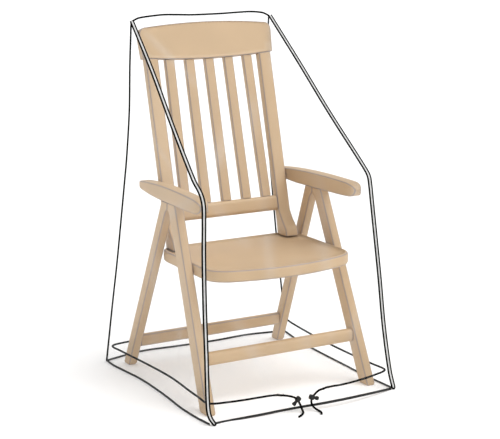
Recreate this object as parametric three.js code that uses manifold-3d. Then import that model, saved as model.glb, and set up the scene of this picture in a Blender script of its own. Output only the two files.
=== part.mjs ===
// Folding chair cover: a hood of clear film over the plain folding armchair that it is made to fit.
// The hood has four film panels, two white seam tapes with black corded edges down the front,
// black piping on the other seams, and a black drawcord with two spring locks near the hem.
// Millimetres, +Z up, front towards -Y. The origin is on the floor, under the middle of the hood.

import * as THREE from 'three';
import { mergeVertices } from 'three/addons/utils/BufferGeometryUtils.js';
import Module from 'manifold-3d';

const wasm = await Module();
wasm.setup();

// Hood, overall
const FILM = 1.5;              // thickness of the film panels
const GAP = 0.4;               // clearance between two pieces that meet
const SEAM_GAP = 0.8;          // clearance between the film and a seam tape
const RIDGE_GAP = 1.1;         // clearance between the back panel's top and the ridge piping
const RIDGE_HEIGHT = 1150;     // height of the top seam at its corners
const SIDE_TOP = 1141;         // where the pointed side panels stop under the ridge corner
const FRONT_SHIFT = 8.9;        // puts the middle of the hood over the origin
const STEPS_PER_LEVEL = 2;     // rows of facets between two lines of the corner table
const FRONT_COLUMNS = 22;
const SIDE_COLUMNS = 11;
const BACK_COLUMNS = 12;

// Where the four corner seams stand, by height: depths are y, halves are distances from the middle
const CORNERS = [
  { height: 0,    leftDepth: -374, rightDepth: -371, frontHalf: 325, backDepth: 362, backHalf: 347 },
  { height: 60,   leftDepth: -356, rightDepth: -352, frontHalf: 322, backDepth: 354, backHalf: 342 },
  { height: 200,  leftDepth: -338, rightDepth: -328, frontHalf: 315, backDepth: 347, backHalf: 325 },
  { height: 350,  leftDepth: -321, rightDepth: -312, frontHalf: 309, backDepth: 339, backHalf: 306 },
  { height: 500,  leftDepth: -306, rightDepth: -296, frontHalf: 301, backDepth: 332, backHalf: 289 },
  { height: 600,  leftDepth: -299, rightDepth: -286, frontHalf: 295, backDepth: 327, backHalf: 278 },
  { height: 645,  leftDepth: -292, rightDepth: -282, frontHalf: 292, backDepth: 325, backHalf: 273 },
  { height: 675,  leftDepth: -269, rightDepth: -275, frontHalf: 290, backDepth: 323, backHalf: 270 },
  { height: 705,  leftDepth: -220, rightDepth: -245, frontHalf: 287, backDepth: 322, backHalf: 267 },
  { height: 850,  leftDepth: -55,  rightDepth: -66,  frontHalf: 276, backDepth: 314, backHalf: 257 },
  { height: 1000, leftDepth: 108,  rightDepth: 106,  frontHalf: 264, backDepth: 305, backHalf: 254 },
  { height: 1150, leftDepth: 286,  rightDepth: 286,  frontHalf: 253, backDepth: 286, backHalf: 253 },
];

// How far the front panel stands out of the plane between its seams, by share of its width
const FRONT_BULGE = [
  { across: 0,    hem: 0,  cord: 0,  knee: 0,  bend: 0, slope: 0,  rail: 0, ridge: 0 },
  { across: 0.08, hem: -6, cord: 12, knee: 7,  bend: 2, slope: -2, rail: 2, ridge: 0 },
  { across: 0.17, hem: 2,  cord: 20, knee: 12, bend: 4, slope: -5, rail: 2.4, ridge: 0 },
  { across: 0.27, hem: 8,  cord: 24, knee: 16, bend: 5, slope: -7, rail: 2.4, ridge: 0 },
  { across: 0.38, hem: 4,  cord: 33, knee: 20, bend: 6, slope: -8, rail: 2.4, ridge: 0 },
  { across: 0.47, hem: 18, cord: 40, knee: 22, bend: 7, slope: -8, rail: 2.4, ridge: 0 },
  { across: 0.56, hem: 42, cord: 45, knee: 22, bend: 7, slope: -8, rail: 2.4, ridge: 0 },
  { across: 0.64, hem: 48, cord: 48, knee: 21, bend: 6, slope: -7, rail: 2.4, ridge: 0 },
  { across: 0.74, hem: 44, cord: 45, knee: 18, bend: 5, slope: -6, rail: 2.4, ridge: 0 },
  { across: 0.87, hem: 27, cord: 28, knee: 11, bend: 3, slope: -3, rail: 2.5, ridge: 0 },
  { across: 1,    hem: 0,  cord: 0,  knee: 0,  bend: 0, slope: 0,  rail: 0, ridge: 0 },
];
const FRONT_BANDS = [
  { height: 0, name: 'hem' },
  { height: 60, name: 'cord' },
  { height: 330, name: 'knee' },
  { height: 660, name: 'bend' },
  { height: 900, name: 'slope' },
  { height: 1130, name: 'rail' },
  { height: 1148, name: 'ridge' },
];

// The same for the two side panels, from the front seam to the back one
const LEFT_BULGE = [
  { across: 0,    hem: 0,   cord: 0,   knee: 0,  arm: 0, top: 0 },
  { across: 0.1,  hem: 6,   cord: -3,  knee: -2, arm: 1, top: 0 },
  { across: 0.23, hem: 6,   cord: -9,  knee: -4, arm: 3, top: 0 },
  { across: 0.38, hem: -3,  cord: -18, knee: -6, arm: 4, top: 1 },
  { across: 0.52, hem: -9,  cord: -18, knee: -7, arm: 5, top: 1 },
  { across: 0.67, hem: -11, cord: -13, knee: -5, arm: 6, top: 1 },
  { across: 0.8,  hem: -4,  cord: -7,  knee: -3, arm: 6, top: 1 },
  { across: 0.92, hem: 3,   cord: -2,  knee: -1, arm: 3, top: 0 },
  { across: 1,    hem: 0,   cord: 0,   knee: 0,  arm: 0, top: 0 },
];
const RIGHT_BULGE = [
  { across: 0,    hem: 0,   cord: 0,   knee: 0,  arm: 0, top: 0 },
  { across: 0.1,  hem: -6,  cord: -3,  knee: -2, arm: 1, top: 0 },
  { across: 0.23, hem: -12, cord: -9,  knee: -5, arm: 3, top: 0 },
  { across: 0.38, hem: -13, cord: -14, knee: -7, arm: 5, top: 1 },
  { across: 0.52, hem: -15, cord: -15, knee: -8, arm: 5, top: 1 },
  { across: 0.67, hem: -16, cord: -13, knee: -6, arm: 6, top: 1 },
  { across: 0.8,  hem: -15, cord: -9,  knee: -3, arm: 6, top: 1 },
  { across: 0.92, hem: -7,  cord: -4,  knee: -1, arm: 3, top: 0 },
  { across: 1,    hem: 0,   cord: 0,   knee: 0,  arm: 0, top: 0 },
];
const SIDE_BANDS = [
  { height: 0, name: 'hem' },
  { height: 60, name: 'cord' },
  { height: 330, name: 'knee' },
  { height: 640, name: 'arm' },
  { height: 1000, name: 'top' },
];

// And for the back panel, from its left seam to its right one
const BACK_BULGE = [
  { across: 0,    hem: 0,  cord: 0,  middle: 0, ridge: 0 },
  { across: 0.1,  hem: 20, cord: 12, middle: 4, ridge: 0 },
  { across: 0.22, hem: 38, cord: 22, middle: 7, ridge: 0 },
  { across: 0.4,  hem: 28, cord: 20, middle: 9, ridge: 0 },
  { across: 0.6,  hem: 20, cord: 16, middle: 9, ridge: 0 },
  { across: 0.8,  hem: 26, cord: 18, middle: 7, ridge: 0 },
  { across: 0.92, hem: 13, cord: 8,  middle: 3, ridge: 0 },
  { across: 1,    hem: 0,  cord: 0,  middle: 0, ridge: 0 },
];
const BACK_BANDS = [
  { height: 0, name: 'hem' },
  { height: 60, name: 'cord' },
  { height: 500, name: 'middle' },
  { height: 1110, name: 'ridge' },
];

// How far the ridge rises: down at its rounded corners, two soft shoulders and a lower middle
const RIDGE_RISE = [
  { across: 0,    rise: -9 },
  { across: 0.02, rise: -2.5 },
  { across: 0.045, rise: 3 },
  { across: 0.08, rise: 6 },
  { across: 0.23, rise: 11 },
  { across: 0.42, rise: 7 },
  { across: 0.65, rise: 7 },
  { across: 0.86, rise: 9 },
  { across: 0.95, rise: 4 },
  { across: 0.98, rise: -2 },
  { across: 1,    rise: -8 },
];
const RAIL_LEVELS = [1110, 1130]; // rows of the front panel where it passes over the top rail
const RISE_FADES_OVER = 60;    // height under the ridge in which the rise dies away

// Seam tapes and piping
const TAPE_RIB = 2.7;          // radius of the black cord in each edge of a tape
const TAPE_RIB_AT = 5.2;       // distance of those cords from the middle of the tape
const TAPE_BAND = 1.0;         // half thickness of the white band between them
const TAPE_TOP = 1145;
const TIP_HEIGHT = 45;         // height in which the loose lower tip turns aside
const TIP_LEVELS = [0, 7, 14, 22, 32];
const LEFT_TIP = { forward: 11, inward: 11 };
const RIGHT_TIP = { forward: 3, inward: 0.5 };
const PIPING = 3.0;            // radius of the piping
const PIPING_GAP = 0.7;        // clearance between the piping and the film beside it
const PIPING_SIDES = 8;
const PIPING_STEPS = 30;
const RIDGE_STEPS = 60;
// Where the ridge piping's route is set, by share of the ridge
const RIDGE_PLACES = [
  0, 0.02, 0.045, 0.08, 0.15, 0.23, 0.32, 0.42, 0.53, 0.65, 0.76, 0.86, 0.92, 0.955, 0.98, 1,
];
const RIDGE_PIPING_FOOT = 1136.5; // its two ends turn down at the corners to this height
const BACK_PIPING_FOOT = 0.5;
const BACK_PIPING_TOP = 1135.9;

// Drawcord
const CORD = 3.4;              // radius of the drawcord
const CORD_SIDES = 8;
const CORD_HEIGHT = 57;
const CORD_STEPS = 80;
const CORD_GAP = 0.6;          // between the held cord and a free end
const CORD_CLEAR = 3.2;        // clearance between the held cord and the film
const CORD_HOLE = 5.8;         // radius of the two holes that it leaves the front panel by
const CORD_FROM = 0.275;       // where the held cord starts and ends, across the front panel
const CORD_TO = 0.665;
const CORNER_ROUND = 15;       // the cord keeps this far from a corner seam
const CORD_LEAD = 14;          // straight lead of the held cord before a free end
const ALONG_FILM = { share: 0.01, height: 5 }; // steps that find the film's direction
// The two free ends: out through the hole, through the lock, down over the hem and along the floor
const LEFT_END = [
  [-114, -375.2, 57], [-104, -377.3, 57], [-95, -383.5, 57], [-87, -390.5, 57], [-79, -396.5, 56.5],
  [-70, -400, 54.5], [-60, -401.5, 51], [-51, -401.5, 46], [-43.5, -401, 38.5], [-38, -401.5, 30],
  [-34, -403, 21], [-32, -406.5, 12], [-32, -412, 6.4],
  [-34, -419, 4.1], [-39, -427, 3.7], [-47, -435, 3.7], [-56, -442, 3.7], [-66, -448, 3.7],
];
const RIGHT_END = [
  [78, -394.5, 58], [67, -396, 58.5], [57, -400, 59.5], [47, -406, 60.5], [38, -410.5, 61.3],
  [28, -412.5, 61], [19, -413, 57.5], [11, -412.5, 51],
  [5, -411.5, 44], [1, -411, 37], [-1, -411.5, 30], [0, -413.5, 21], [4, -417, 12.5],
  [9, -423, 6.8], [13, -431, 4.1], [14, -440, 3.7], [11, -450, 3.7], [6, -460, 3.7],
];
const LOCK_BODY = { length: 17, width: 15, depth: 12 };
const LOCK_SOFT = { edge: 3, end: 4 }; // rounding of the lock body's long edges, and of its ends
const LOCK_BUTTON = { radius: 6.3, length: 15 };
const LOCK_BORE = 4.0;         // radius of the bore that the cord runs through
const LEFT_LOCK = { x: -41, y: -401, z: 40.4, lean: 43 };
const RIGHT_LOCK = { x: 0.4, y: -411.4, z: 42.6, lean: 161 };

// Chair, plain: the back leans along a line from the seat to the top rail
const RAKE = THREE.MathUtils.degToRad(13.9);
const BACK_FOOT = 100;         // depth of the back's middle plane at the seat
const SEAT_TOP = 430;
const SEAT_THICK = 38;
const STILE = { topHalf: 207, footHalf: 205.5, width: 47, thick: 30, radius: 9 };
// The stile's foot curls forward and thickens: distance up the back, and out of its plane
const STILE_FOOT = [
  { along: 0.4, out: 17, depth: 64, wide: 1.04 },
  { along: 9,   out: 16, depth: 64, wide: 1.04 },
  { along: 26,  out: 12, depth: 54, wide: 1.02 },
  { along: 48,  out: 6,  depth: 41, wide: 1 },
  { along: 78,  out: 0,  depth: 30, wide: 1 },
];
const TOP_RAIL = { half: 241, thick: 28, soft: 3, corner: 28, inset: 4 };
const RAIL_EDGES = { topMiddle: 724, topEnds: 713.5, lowMiddle: 602, lowEnds: 613 };
const LOWER_RAIL = { centre: 106, height: 50, thick: 30, radius: 13 };
const SLATS = 5;
const SLAT = { width: 33, thick: 19, radius: 4, topHalf: 142, footHalf: 148 };
const LEG = { thick: 31, topHalf: 261, footHalf: 285, height: 600, radius: 7 };
const FRONT_LEG = { foot: -280, top: -31, depth: 54 };
const BACK_LEG = { foot: 303, top: 18.4, depth: 44 };
// The legs' feet are softened, and a web between their tops makes a small arch under the arm
const LEG_ROWS = [
  { height: 0,   inset: 4,   web: 0 },
  { height: 2,   inset: 1.5, web: 0 },
  { height: 6,   inset: 0,   web: 0 },
  { height: 562, inset: 0,   web: 0 },
  { height: 571, inset: 0,   web: 2.4 },
  { height: 577, inset: 0,   web: 6 },
  { height: 580, inset: 0,   web: 8.8 },
  { height: 600, inset: 0,   web: 0 },
];
const ARM = { low: 600.6, width: 42, soft: 6, middle: 258.9, splay: 2.2 };
// Side outline of an arm: depth and height of each stop, and the point that the curve to it leans to
const ARM_OUTLINE = [
  { x: -110, y: 0 },
  { x: 70,   y: 0 },
  { x: 222,  y: 12, leanX: 170,  leanY: 3 },
  { x: 234,  y: 24, leanX: 234,  leanY: 16 },
  { x: 218,  y: 36, leanX: 234,  leanY: 33 },
  { x: -210, y: 46, leanX: 40,   leanY: 56 },
  { x: -250, y: 24, leanX: -250, leanY: 42 },
  { x: -220, y: 2,  leanX: -250, leanY: 3 },
  { x: -110, y: 0,  leanX: -180, leanY: 0 },
];
// Outline of the seat from above, the same way
const SEAT_OUTLINE = [
  { x: -252, y: 60 },
  { x: -252, y: -196 },
  { x: -196, y: -271, leanX: -251, leanY: -247 },
  { x: 196,  y: -271, leanX: 0,    leanY: -335 },
  { x: 252,  y: -196, leanX: 251,  leanY: -247 },
  { x: 252,  y: 60 },
  { x: 190,  y: 130,  leanX: 252,  leanY: 128 },
  { x: -190, y: 130 },
  { x: -252, y: 60,   leanX: -252, leanY: 128 },
];
const SEAT_SOFT = 9;
const FRONT_BAR = { height: 150, high: 42, thick: 28 };
const BACK_BAR = { height: 88, high: 42, thick: 24 };
const BAR_END = 0.04;          // share of the leg's height that a bar's end keeps for the leg's slant

// Lock button from its stem to its head, by share of its radius and length
const BUTTON_PROFILE = [
  { out: 0,    along: 0 },
  { out: 0.72, along: 0 },
  { out: 0.78, along: 0.12 },
  { out: 0.78, along: 0.42 },
  { out: 1,    along: 0.5 },
  { out: 1,    along: 0.86 },
  { out: 0.86, along: 0.97 },
  { out: 0.5,  along: 1 },
  { out: 0,    along: 1 },
];

const COLOURS = {
  film: { color: 0xdfe6ea, roughness: 0.15, metalness: 0, opacity: 0.3, transparent: true },
  tape: { color: 0xf4f4f2, roughness: 0.6, metalness: 0 },
  black: { color: 0x111111, roughness: 0.6, metalness: 0 },
  chair: { color: 0xceb491, roughness: 0.5, metalness: 0 },
};

// How finely round things are cut into flat faces
const ROD_SIDES = 16;
const CORD_END_STEPS = 26;
const BORE_SIDES = 12;
const BORE_STEPS = 40;
const BUTTON_SIDES = 14;
const BACK_CURVE_STEPS = 12;
const SEAT_CURVE_STEPS = 8;
const ARM_CURVE_STEPS = 6;
const FRONT_RUN = 6;
const SIDE_RUN = 10;
const BACK_RUN = 9;

const X = new THREE.Vector3(1, 0, 0);
const Y = new THREE.Vector3(0, 1, 0);
const Z = new THREE.Vector3(0, 0, 1);

const hood = new THREE.Group();
hood.position.set(0, FRONT_SHIFT, 0);

function add(name, geometry, look) {
  const mesh = new THREE.Mesh(geometry, new THREE.MeshStandardMaterial(COLOURS[look]));
  mesh.name = name;
  hood.add(mesh);
  return mesh;
}

// Smooth value of one column of a table at a place along its key column
function valueAt(rows, key, column, place) {
  const last = rows.length - 1;
  const x = THREE.MathUtils.clamp(place, rows[0][key], rows[last][key]);
  let i = 0;
  while (i < last - 1 && x > rows[i + 1][key]) {
    i += 1;
  }
  const slopeAt = (j) => {
    const before = rows[Math.max(j - 1, 0)];
    const after = rows[Math.min(j + 1, last)];
    return (after[column] - before[column]) / (after[key] - before[key]);
  };
  const span = rows[i + 1][key] - rows[i][key];
  const t = (x - rows[i][key]) / span;
  const rise = t * t * (3 - 2 * t);
  const bendIn = t * (1 - t) * (1 - t) * span * slopeAt(i);
  const bendOut = t * t * (t - 1) * span * slopeAt(i + 1);
  return rows[i][column] * (1 - rise) + rows[i + 1][column] * rise + bendIn + bendOut;
}

// Bulge of a panel at a share of its width and a height, blended between its bands
function bulgeAt(table, bands, across, height) {
  let i = 0;
  while (i < bands.length - 2 && height > bands[i + 1].height) {
    i += 1;
  }
  const blend = THREE.MathUtils.smoothstep(height, bands[i].height, bands[i + 1].height);
  const lower = valueAt(table, 'across', bands[i].name, across);
  const upper = valueAt(table, 'across', bands[i + 1].name, across);
  return THREE.MathUtils.lerp(lower, upper, blend);
}

// The four corner seams: side is -1 for the left and 1 for the right
function frontCorner(side, height) {
  const half = valueAt(CORNERS, 'height', 'frontHalf', height);
  const column = side < 0 ? 'leftDepth' : 'rightDepth';
  return new THREE.Vector3(side * half, valueAt(CORNERS, 'height', column, height), height);
}

function backCorner(side, height) {
  const half = valueAt(CORNERS, 'height', 'backHalf', height);
  return new THREE.Vector3(side * half, valueAt(CORNERS, 'height', 'backDepth', height), height);
}

// Unit vector out of the front, square to the seam's side profile
function frontNormal(side, height) {
  const reach = 4;
  const above = frontCorner(side, Math.min(height + reach, RIDGE_HEIGHT));
  const below = frontCorner(side, Math.max(height - reach, 0));
  const along = above.sub(below);
  return new THREE.Vector3(0, -along.z, along.y).normalize();
}

function ridgeRise(across, height) {
  const fade = THREE.MathUtils.smoothstep(height, RIDGE_HEIGHT - RISE_FADES_OVER, RIDGE_HEIGHT);
  return valueAt(RIDGE_RISE, 'across', 'rise', across) * fade;
}

// Middle surface of each panel, at a share of its width and a height
function frontPoint(across, height) {
  const inset = TAPE_RIB_AT + TAPE_RIB + SEAM_GAP;
  const left = frontCorner(-1, height);
  const right = frontCorner(1, height);
  left.x += inset;
  right.x -= inset;
  const normal = frontNormal(-1, height).lerp(frontNormal(1, height), across).normalize();
  const point = left.lerp(right, across);
  point.addScaledVector(normal, bulgeAt(FRONT_BULGE, FRONT_BANDS, across, height));
  point.z = Math.max(point.z, 0);
  point.z += ridgeRise(across, height);
  return point;
}

function sidePoint(side, across, height) {
  const front = frontCorner(side, height);
  front.addScaledVector(frontNormal(side, height), -(TAPE_BAND + SEAM_GAP));
  front.z = Math.max(front.z, 0);
  const back = backCorner(side, height);
  back.y -= PIPING + PIPING_GAP;
  const table = side < 0 ? LEFT_BULGE : RIGHT_BULGE;
  const point = front.lerp(back, across);
  point.x += side * bulgeAt(table, SIDE_BANDS, across, height);
  return point;
}

function backPoint(across, height) {
  const left = backCorner(-1, height);
  const right = backCorner(1, height);
  left.x += PIPING + PIPING_GAP;
  right.x -= PIPING + PIPING_GAP;
  const point = left.lerp(right, across);
  point.y += bulgeAt(BACK_BULGE, BACK_BANDS, across, height);
  point.z += ridgeRise(across, height);
  return point;
}

// Heights of the facet rows, a few for each line of the corner table, and any extra ones
function levelsUpTo(top, extra = []) {
  const levels = [...extra];
  for (let i = 0; i < CORNERS.length - 1; i += 1) {
    for (let step = 0; step < STEPS_PER_LEVEL; step += 1) {
      const height = THREE.MathUtils.lerp(CORNERS[i].height, CORNERS[i + 1].height, step / STEPS_PER_LEVEL);
      if (height < top - 2) {
        levels.push(height);
      }
    }
  }
  levels.push(top);
  return levels.sort((a, b) => a - b);
}

// Closed sheet of even thickness over a grid of points; the grid's normal side is its outside
function sheet(grid, flatFoot) {
  const rows = grid.length;
  const columns = grid[0].length;
  const normalAt = (r, c) => {
    const across = grid[r][Math.min(c + 1, columns - 1)].clone().sub(grid[r][Math.max(c - 1, 0)]);
    const up = grid[Math.min(r + 1, rows - 1)][c].clone().sub(grid[Math.max(r - 1, 0)][c]);
    const normal = across.cross(up);
    if (flatFoot && r === 0) {
      normal.z = 0;
    }
    return normal.normalize();
  };
  const positions = [];
  for (const side of [0.5, -0.5]) {
    for (let r = 0; r < rows; r += 1) {
      for (let c = 0; c < columns; c += 1) {
        const point = grid[r][c].clone().addScaledVector(normalAt(r, c), side * FILM);
        positions.push(point.x, point.y, point.z);
      }
    }
  }
  const outer = (r, c) => r * columns + c;
  const inner = (r, c) => rows * columns + r * columns + c;
  const faces = [];
  const quad = (a, b, c, d) => faces.push(a, b, c, a, c, d);
  for (let r = 0; r < rows - 1; r += 1) {
    for (let c = 0; c < columns - 1; c += 1) {
      quad(outer(r, c), outer(r, c + 1), outer(r + 1, c + 1), outer(r + 1, c));
      quad(inner(r, c), inner(r + 1, c), inner(r + 1, c + 1), inner(r, c + 1));
    }
  }
  for (let c = 0; c < columns - 1; c += 1) {
    quad(outer(0, c), inner(0, c), inner(0, c + 1), outer(0, c + 1));
    quad(outer(rows - 1, c), outer(rows - 1, c + 1), inner(rows - 1, c + 1), inner(rows - 1, c));
  }
  for (let r = 0; r < rows - 1; r += 1) {
    quad(outer(r, 0), outer(r + 1, 0), inner(r + 1, 0), inner(r, 0));
    quad(outer(r, columns - 1), inner(r, columns - 1), inner(r + 1, columns - 1), outer(r + 1, columns - 1));
  }
  const geometry = new THREE.BufferGeometry();
  geometry.setAttribute('position', new THREE.Float32BufferAttribute(positions, 3));
  geometry.setIndex(faces);
  return geometry;
}

function panelGrid(pointAt, levels, columns) {
  return levels.map((height) => {
    const row = [];
    for (let c = 0; c <= columns; c += 1) {
      row.push(pointAt(c / columns, height));
    }
    return row;
  });
}

// The same body with its faces turned outwards, whichever way its loops run
function facingOut(geometry) {
  const { array } = geometry.attributes.position;
  const faces = Array.from(geometry.index.array);
  const corner = (i) => new THREE.Vector3().fromArray(array, 3 * faces[i]);
  let volume = 0;
  for (let i = 0; i < faces.length; i += 3) {
    volume += corner(i).dot(corner(i + 1).cross(corner(i + 2)));
  }
  if (volume < 0) {
    geometry.setIndex(faces.reverse());
  }
  return geometry;
}

// Body lofted through loops of points of equal count, closed at both ends
function loft(loops) {
  const count = loops[0].length;
  const positions = loops.flat().flatMap((point) => [point.x, point.y, point.z]);
  const faces = [];
  for (let r = 0; r < loops.length - 1; r += 1) {
    for (let i = 0; i < count; i += 1) {
      const j = (i + 1) % count;
      const [a, b] = [r * count + i, r * count + j];
      faces.push(a, b, b + count, a, b + count, a + count);
    }
  }
  const outline = loops[0].outline;
  const caps = THREE.ShapeUtils.triangulateShape(outline, []);
  const top = (loops.length - 1) * count;
  for (const [a, b, c] of caps) {
    faces.push(c, b, a, top + a, top + b, top + c);
  }
  const geometry = new THREE.BufferGeometry();
  geometry.setAttribute('position', new THREE.Float32BufferAttribute(positions, 3));
  geometry.setIndex(faces);
  return facingOut(geometry);
}

// One loop of a loft: a flat outline laid at a centre on two axes
function loopAt(outline, centre, right, up) {
  const loop = outline.map((point) => {
    return centre.clone().addScaledVector(right, point.x).addScaledVector(up, point.y);
  });
  loop.outline = outline;
  return loop;
}

function roundedOutline(width, depth, radius, perCorner = 3) {
  const outline = [];
  const corners = [[1, -1], [1, 1], [-1, 1], [-1, -1]];
  corners.forEach(([sx, sy], index) => {
    const start = (index - 1) * Math.PI / 2;
    for (let i = 0; i <= perCorner; i += 1) {
      const angle = start + (i / perCorner) * Math.PI / 2;
      const x = sx * (width / 2 - radius) + Math.cos(angle) * radius;
      const y = sy * (depth / 2 - radius) + Math.sin(angle) * radius;
      outline.push(new THREE.Vector2(x, y));
    }
  });
  return outline;
}

// Straight bar with rounded long edges and softened ends, between two points
function bar(from, to, width, depth, radius, right, up) {
  const along = to.clone().sub(from);
  const soft = LOCK_SOFT.end / along.length();
  const places = [
    { at: 0, inset: LOCK_SOFT.end * 0.6 },
    { at: soft * 0.35, inset: LOCK_SOFT.end * 0.2 },
    { at: soft, inset: 0 },
    { at: 1 - soft, inset: 0 },
    { at: 1 - soft * 0.35, inset: LOCK_SOFT.end * 0.2 },
    { at: 1, inset: LOCK_SOFT.end * 0.6 },
  ];
  return loft(places.map(({ at, inset }) => {
    const outline = roundedOutline(width - 2 * inset, depth - 2 * inset, radius);
    return loopAt(outline, from.clone().addScaledVector(along, at), right, up);
  }));
}

// Solid geometry to and from the boolean library, for holes and bores
function toSolid(geometry) {
  const bare = geometry.clone();
  bare.deleteAttribute('normal');
  bare.deleteAttribute('uv');
  const merged = mergeVertices(bare, 1e-4);
  return new wasm.Manifold(new wasm.Mesh({
    numProp: 3,
    vertProperties: merged.attributes.position.array,
    triVerts: new Uint32Array(merged.index.array),
  }));
}

function toGeometry(solid) {
  const mesh = solid.getMesh();
  const geometry = new THREE.BufferGeometry();
  geometry.setAttribute('position', new THREE.BufferAttribute(new Float32Array(mesh.vertProperties), 3));
  geometry.setIndex(Array.from(mesh.triVerts));
  return geometry;
}

// Round rod between two points, to cut a hole with
function rod(from, to, radius) {
  const along = to.clone().sub(from);
  const geometry = new THREE.CylinderGeometry(radius, radius, along.length(), ROD_SIDES);
  geometry.applyQuaternion(new THREE.Quaternion().setFromUnitVectors(Y, along.clone().normalize()));
  const middle = from.clone().lerp(to, 0.5);
  return geometry.translate(middle.x, middle.y, middle.z);
}

// Tube of a round section along a smooth curve through points
function tube(points, radius, sides, steps) {
  const section = new THREE.Shape();
  for (let i = 0; i < sides; i += 1) {
    const angle = (i / sides) * 2 * Math.PI;
    const [x, y] = [Math.cos(angle) * radius, Math.sin(angle) * radius];
    if (i === 0) {
      section.moveTo(x, y);
    } else {
      section.lineTo(x, y);
    }
  }
  section.closePath();
  const path = new THREE.CatmullRomCurve3(points, false, 'centripetal');
  return new THREE.ExtrudeGeometry(section, { steps, bevelEnabled: false, extrudePath: path });
}

// Film panels
function frontPanel() {
  const levels = levelsUpTo(RIDGE_HEIGHT - (PIPING + GAP) * Math.SQRT1_2, RAIL_LEVELS);
  const geometry = sheet(panelGrid(frontPoint, levels, FRONT_COLUMNS), true);
  let solid = toSolid(geometry);
  for (const route of [LEFT_END, RIGHT_END]) {
    const [inside, outside] = [route[1], route[4]].map((point) => new THREE.Vector3(...point));
    solid = solid.subtract(toSolid(rod(inside, outside, CORD_HOLE)));
  }
  return toGeometry(solid);
}

function sidePanel(side) {
  const acrossFrom = (across) => (side < 0 ? 1 - across : across);
  const levels = levelsUpTo(SIDE_TOP);
  const pointAt = (across, height) => sidePoint(side, acrossFrom(across), height);
  return sheet(panelGrid(pointAt, levels, SIDE_COLUMNS), true);
}

function backPanel() {
  const levels = levelsUpTo(RIDGE_HEIGHT - PIPING - RIDGE_GAP);
  return sheet(panelGrid((across, height) => backPoint(1 - across, height), levels, BACK_COLUMNS), true);
}

// Seam tape: a flat white band with a round black cord in each edge
function tapeOutline() {
  const outline = [];
  for (const [side, start] of [[1, -150], [-1, 30]]) {
    for (let i = 0; i <= 5; i += 1) {
      const angle = THREE.MathUtils.degToRad(start + i * 60);
      const x = side * TAPE_RIB_AT + Math.cos(angle) * TAPE_RIB;
      outline.push(new THREE.Vector2(x, Math.sin(angle) * TAPE_RIB));
    }
  }
  return outline;
}

function seamTape(side) {
  const tip = side < 0 ? LEFT_TIP : RIGHT_TIP;
  const outline = tapeOutline();
  const levels = [...TIP_LEVELS, ...levelsUpTo(TAPE_TOP).filter((height) => height >= TIP_HEIGHT / 2)];
  levels.sort((a, b) => a - b);
  return loft(levels.map((height) => {
    const turn = 1 - THREE.MathUtils.smoothstep(height, 0, TIP_HEIGHT);
    const centre = frontCorner(side, height);
    centre.x -= side * tip.inward * turn ** 3;
    centre.y -= tip.forward * turn;
    const outwards = frontNormal(side, height);
    if (height === 0) {
      outwards.set(0, -1, 0);
    }
    return loopAt(outline, centre, X, outwards.negate());
  }));
}

// Piping on the two back corners and along the ridge
function backPiping(side) {
  const heights = CORNERS.map((row) => row.height).slice(1, -1);
  const points = [BACK_PIPING_FOOT, ...heights, BACK_PIPING_TOP].map((height) => backCorner(side, height));
  return tube(points, PIPING, PIPING_SIDES, PIPING_STEPS);
}

function ridgePiping() {
  const points = [backCorner(-1, RIDGE_PIPING_FOOT)];
  for (const across of RIDGE_PLACES) {
    const point = backCorner(-1, RIDGE_HEIGHT).lerp(backCorner(1, RIDGE_HEIGHT), across);
    point.z += ridgeRise(across, RIDGE_HEIGHT);
    point.y = backCorner(1, Math.min(point.z, RIDGE_HEIGHT)).y;
    points.push(point);
  }
  points.push(backCorner(1, RIDGE_PIPING_FOOT));
  return tube(points, PIPING, PIPING_SIDES, RIDGE_STEPS);
}

// Point a little before the first point of a free end, in line with its first stretch
function beforeStart(route, distance) {
  const first = new THREE.Vector3(...route[0]);
  const backwards = first.clone().sub(new THREE.Vector3(...route[1])).normalize();
  return first.addScaledVector(backwards, distance);
}

// Drawcord: inside the film all round, from one free end to the other
function drawcord() {
  const depth = FILM / 2 + CORD_CLEAR + CORD;
  const edge = CORNER_ROUND / (2 * backCorner(1, CORD_HEIGHT).x);
  const runs = [
    { pointAt: frontPoint, from: CORD_FROM, to: edge, count: FRONT_RUN },
    { pointAt: (across, height) => sidePoint(-1, across, height), from: edge, to: 1 - edge, count: SIDE_RUN },
    { pointAt: backPoint, from: edge, to: 1 - edge, count: BACK_RUN },
    { pointAt: (across, height) => sidePoint(1, across, height), from: 1 - edge, to: edge, count: SIDE_RUN },
    { pointAt: frontPoint, from: 1 - edge, to: CORD_TO, count: FRONT_RUN },
  ];
  const points = [beforeStart(LEFT_END, CORD_GAP), beforeStart(LEFT_END, CORD_LEAD)];
  for (const { pointAt, from, to, count } of runs) {
    for (let i = 0; i <= count; i += 1) {
      const across = THREE.MathUtils.lerp(from, to, i / count);
      points.push(insideFilm(pointAt, across, Math.sign(to - from) * ALONG_FILM.share, depth));
    }
  }
  points.push(beforeStart(RIGHT_END, CORD_LEAD), beforeStart(RIGHT_END, CORD_GAP));
  return tube(points, CORD, CORD_SIDES, CORD_STEPS);
}

// Point at a depth inside a panel, square to it; the step runs clockwise as seen from above
function insideFilm(pointAt, across, step, depth) {
  const reach = ALONG_FILM.height;
  const point = pointAt(across, CORD_HEIGHT);
  const along = pointAt(across + step, CORD_HEIGHT).sub(point);
  const up = pointAt(across, CORD_HEIGHT + reach).sub(pointAt(across, CORD_HEIGHT - reach));
  const inwards = along.cross(up).normalize();
  return point.addScaledVector(inwards, depth * Math.sign(-point.dot(inwards)));
}

function cordEnd(route) {
  return tube(route.map((point) => new THREE.Vector3(...point)), CORD, CORD_SIDES, CORD_END_STEPS);
}

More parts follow.
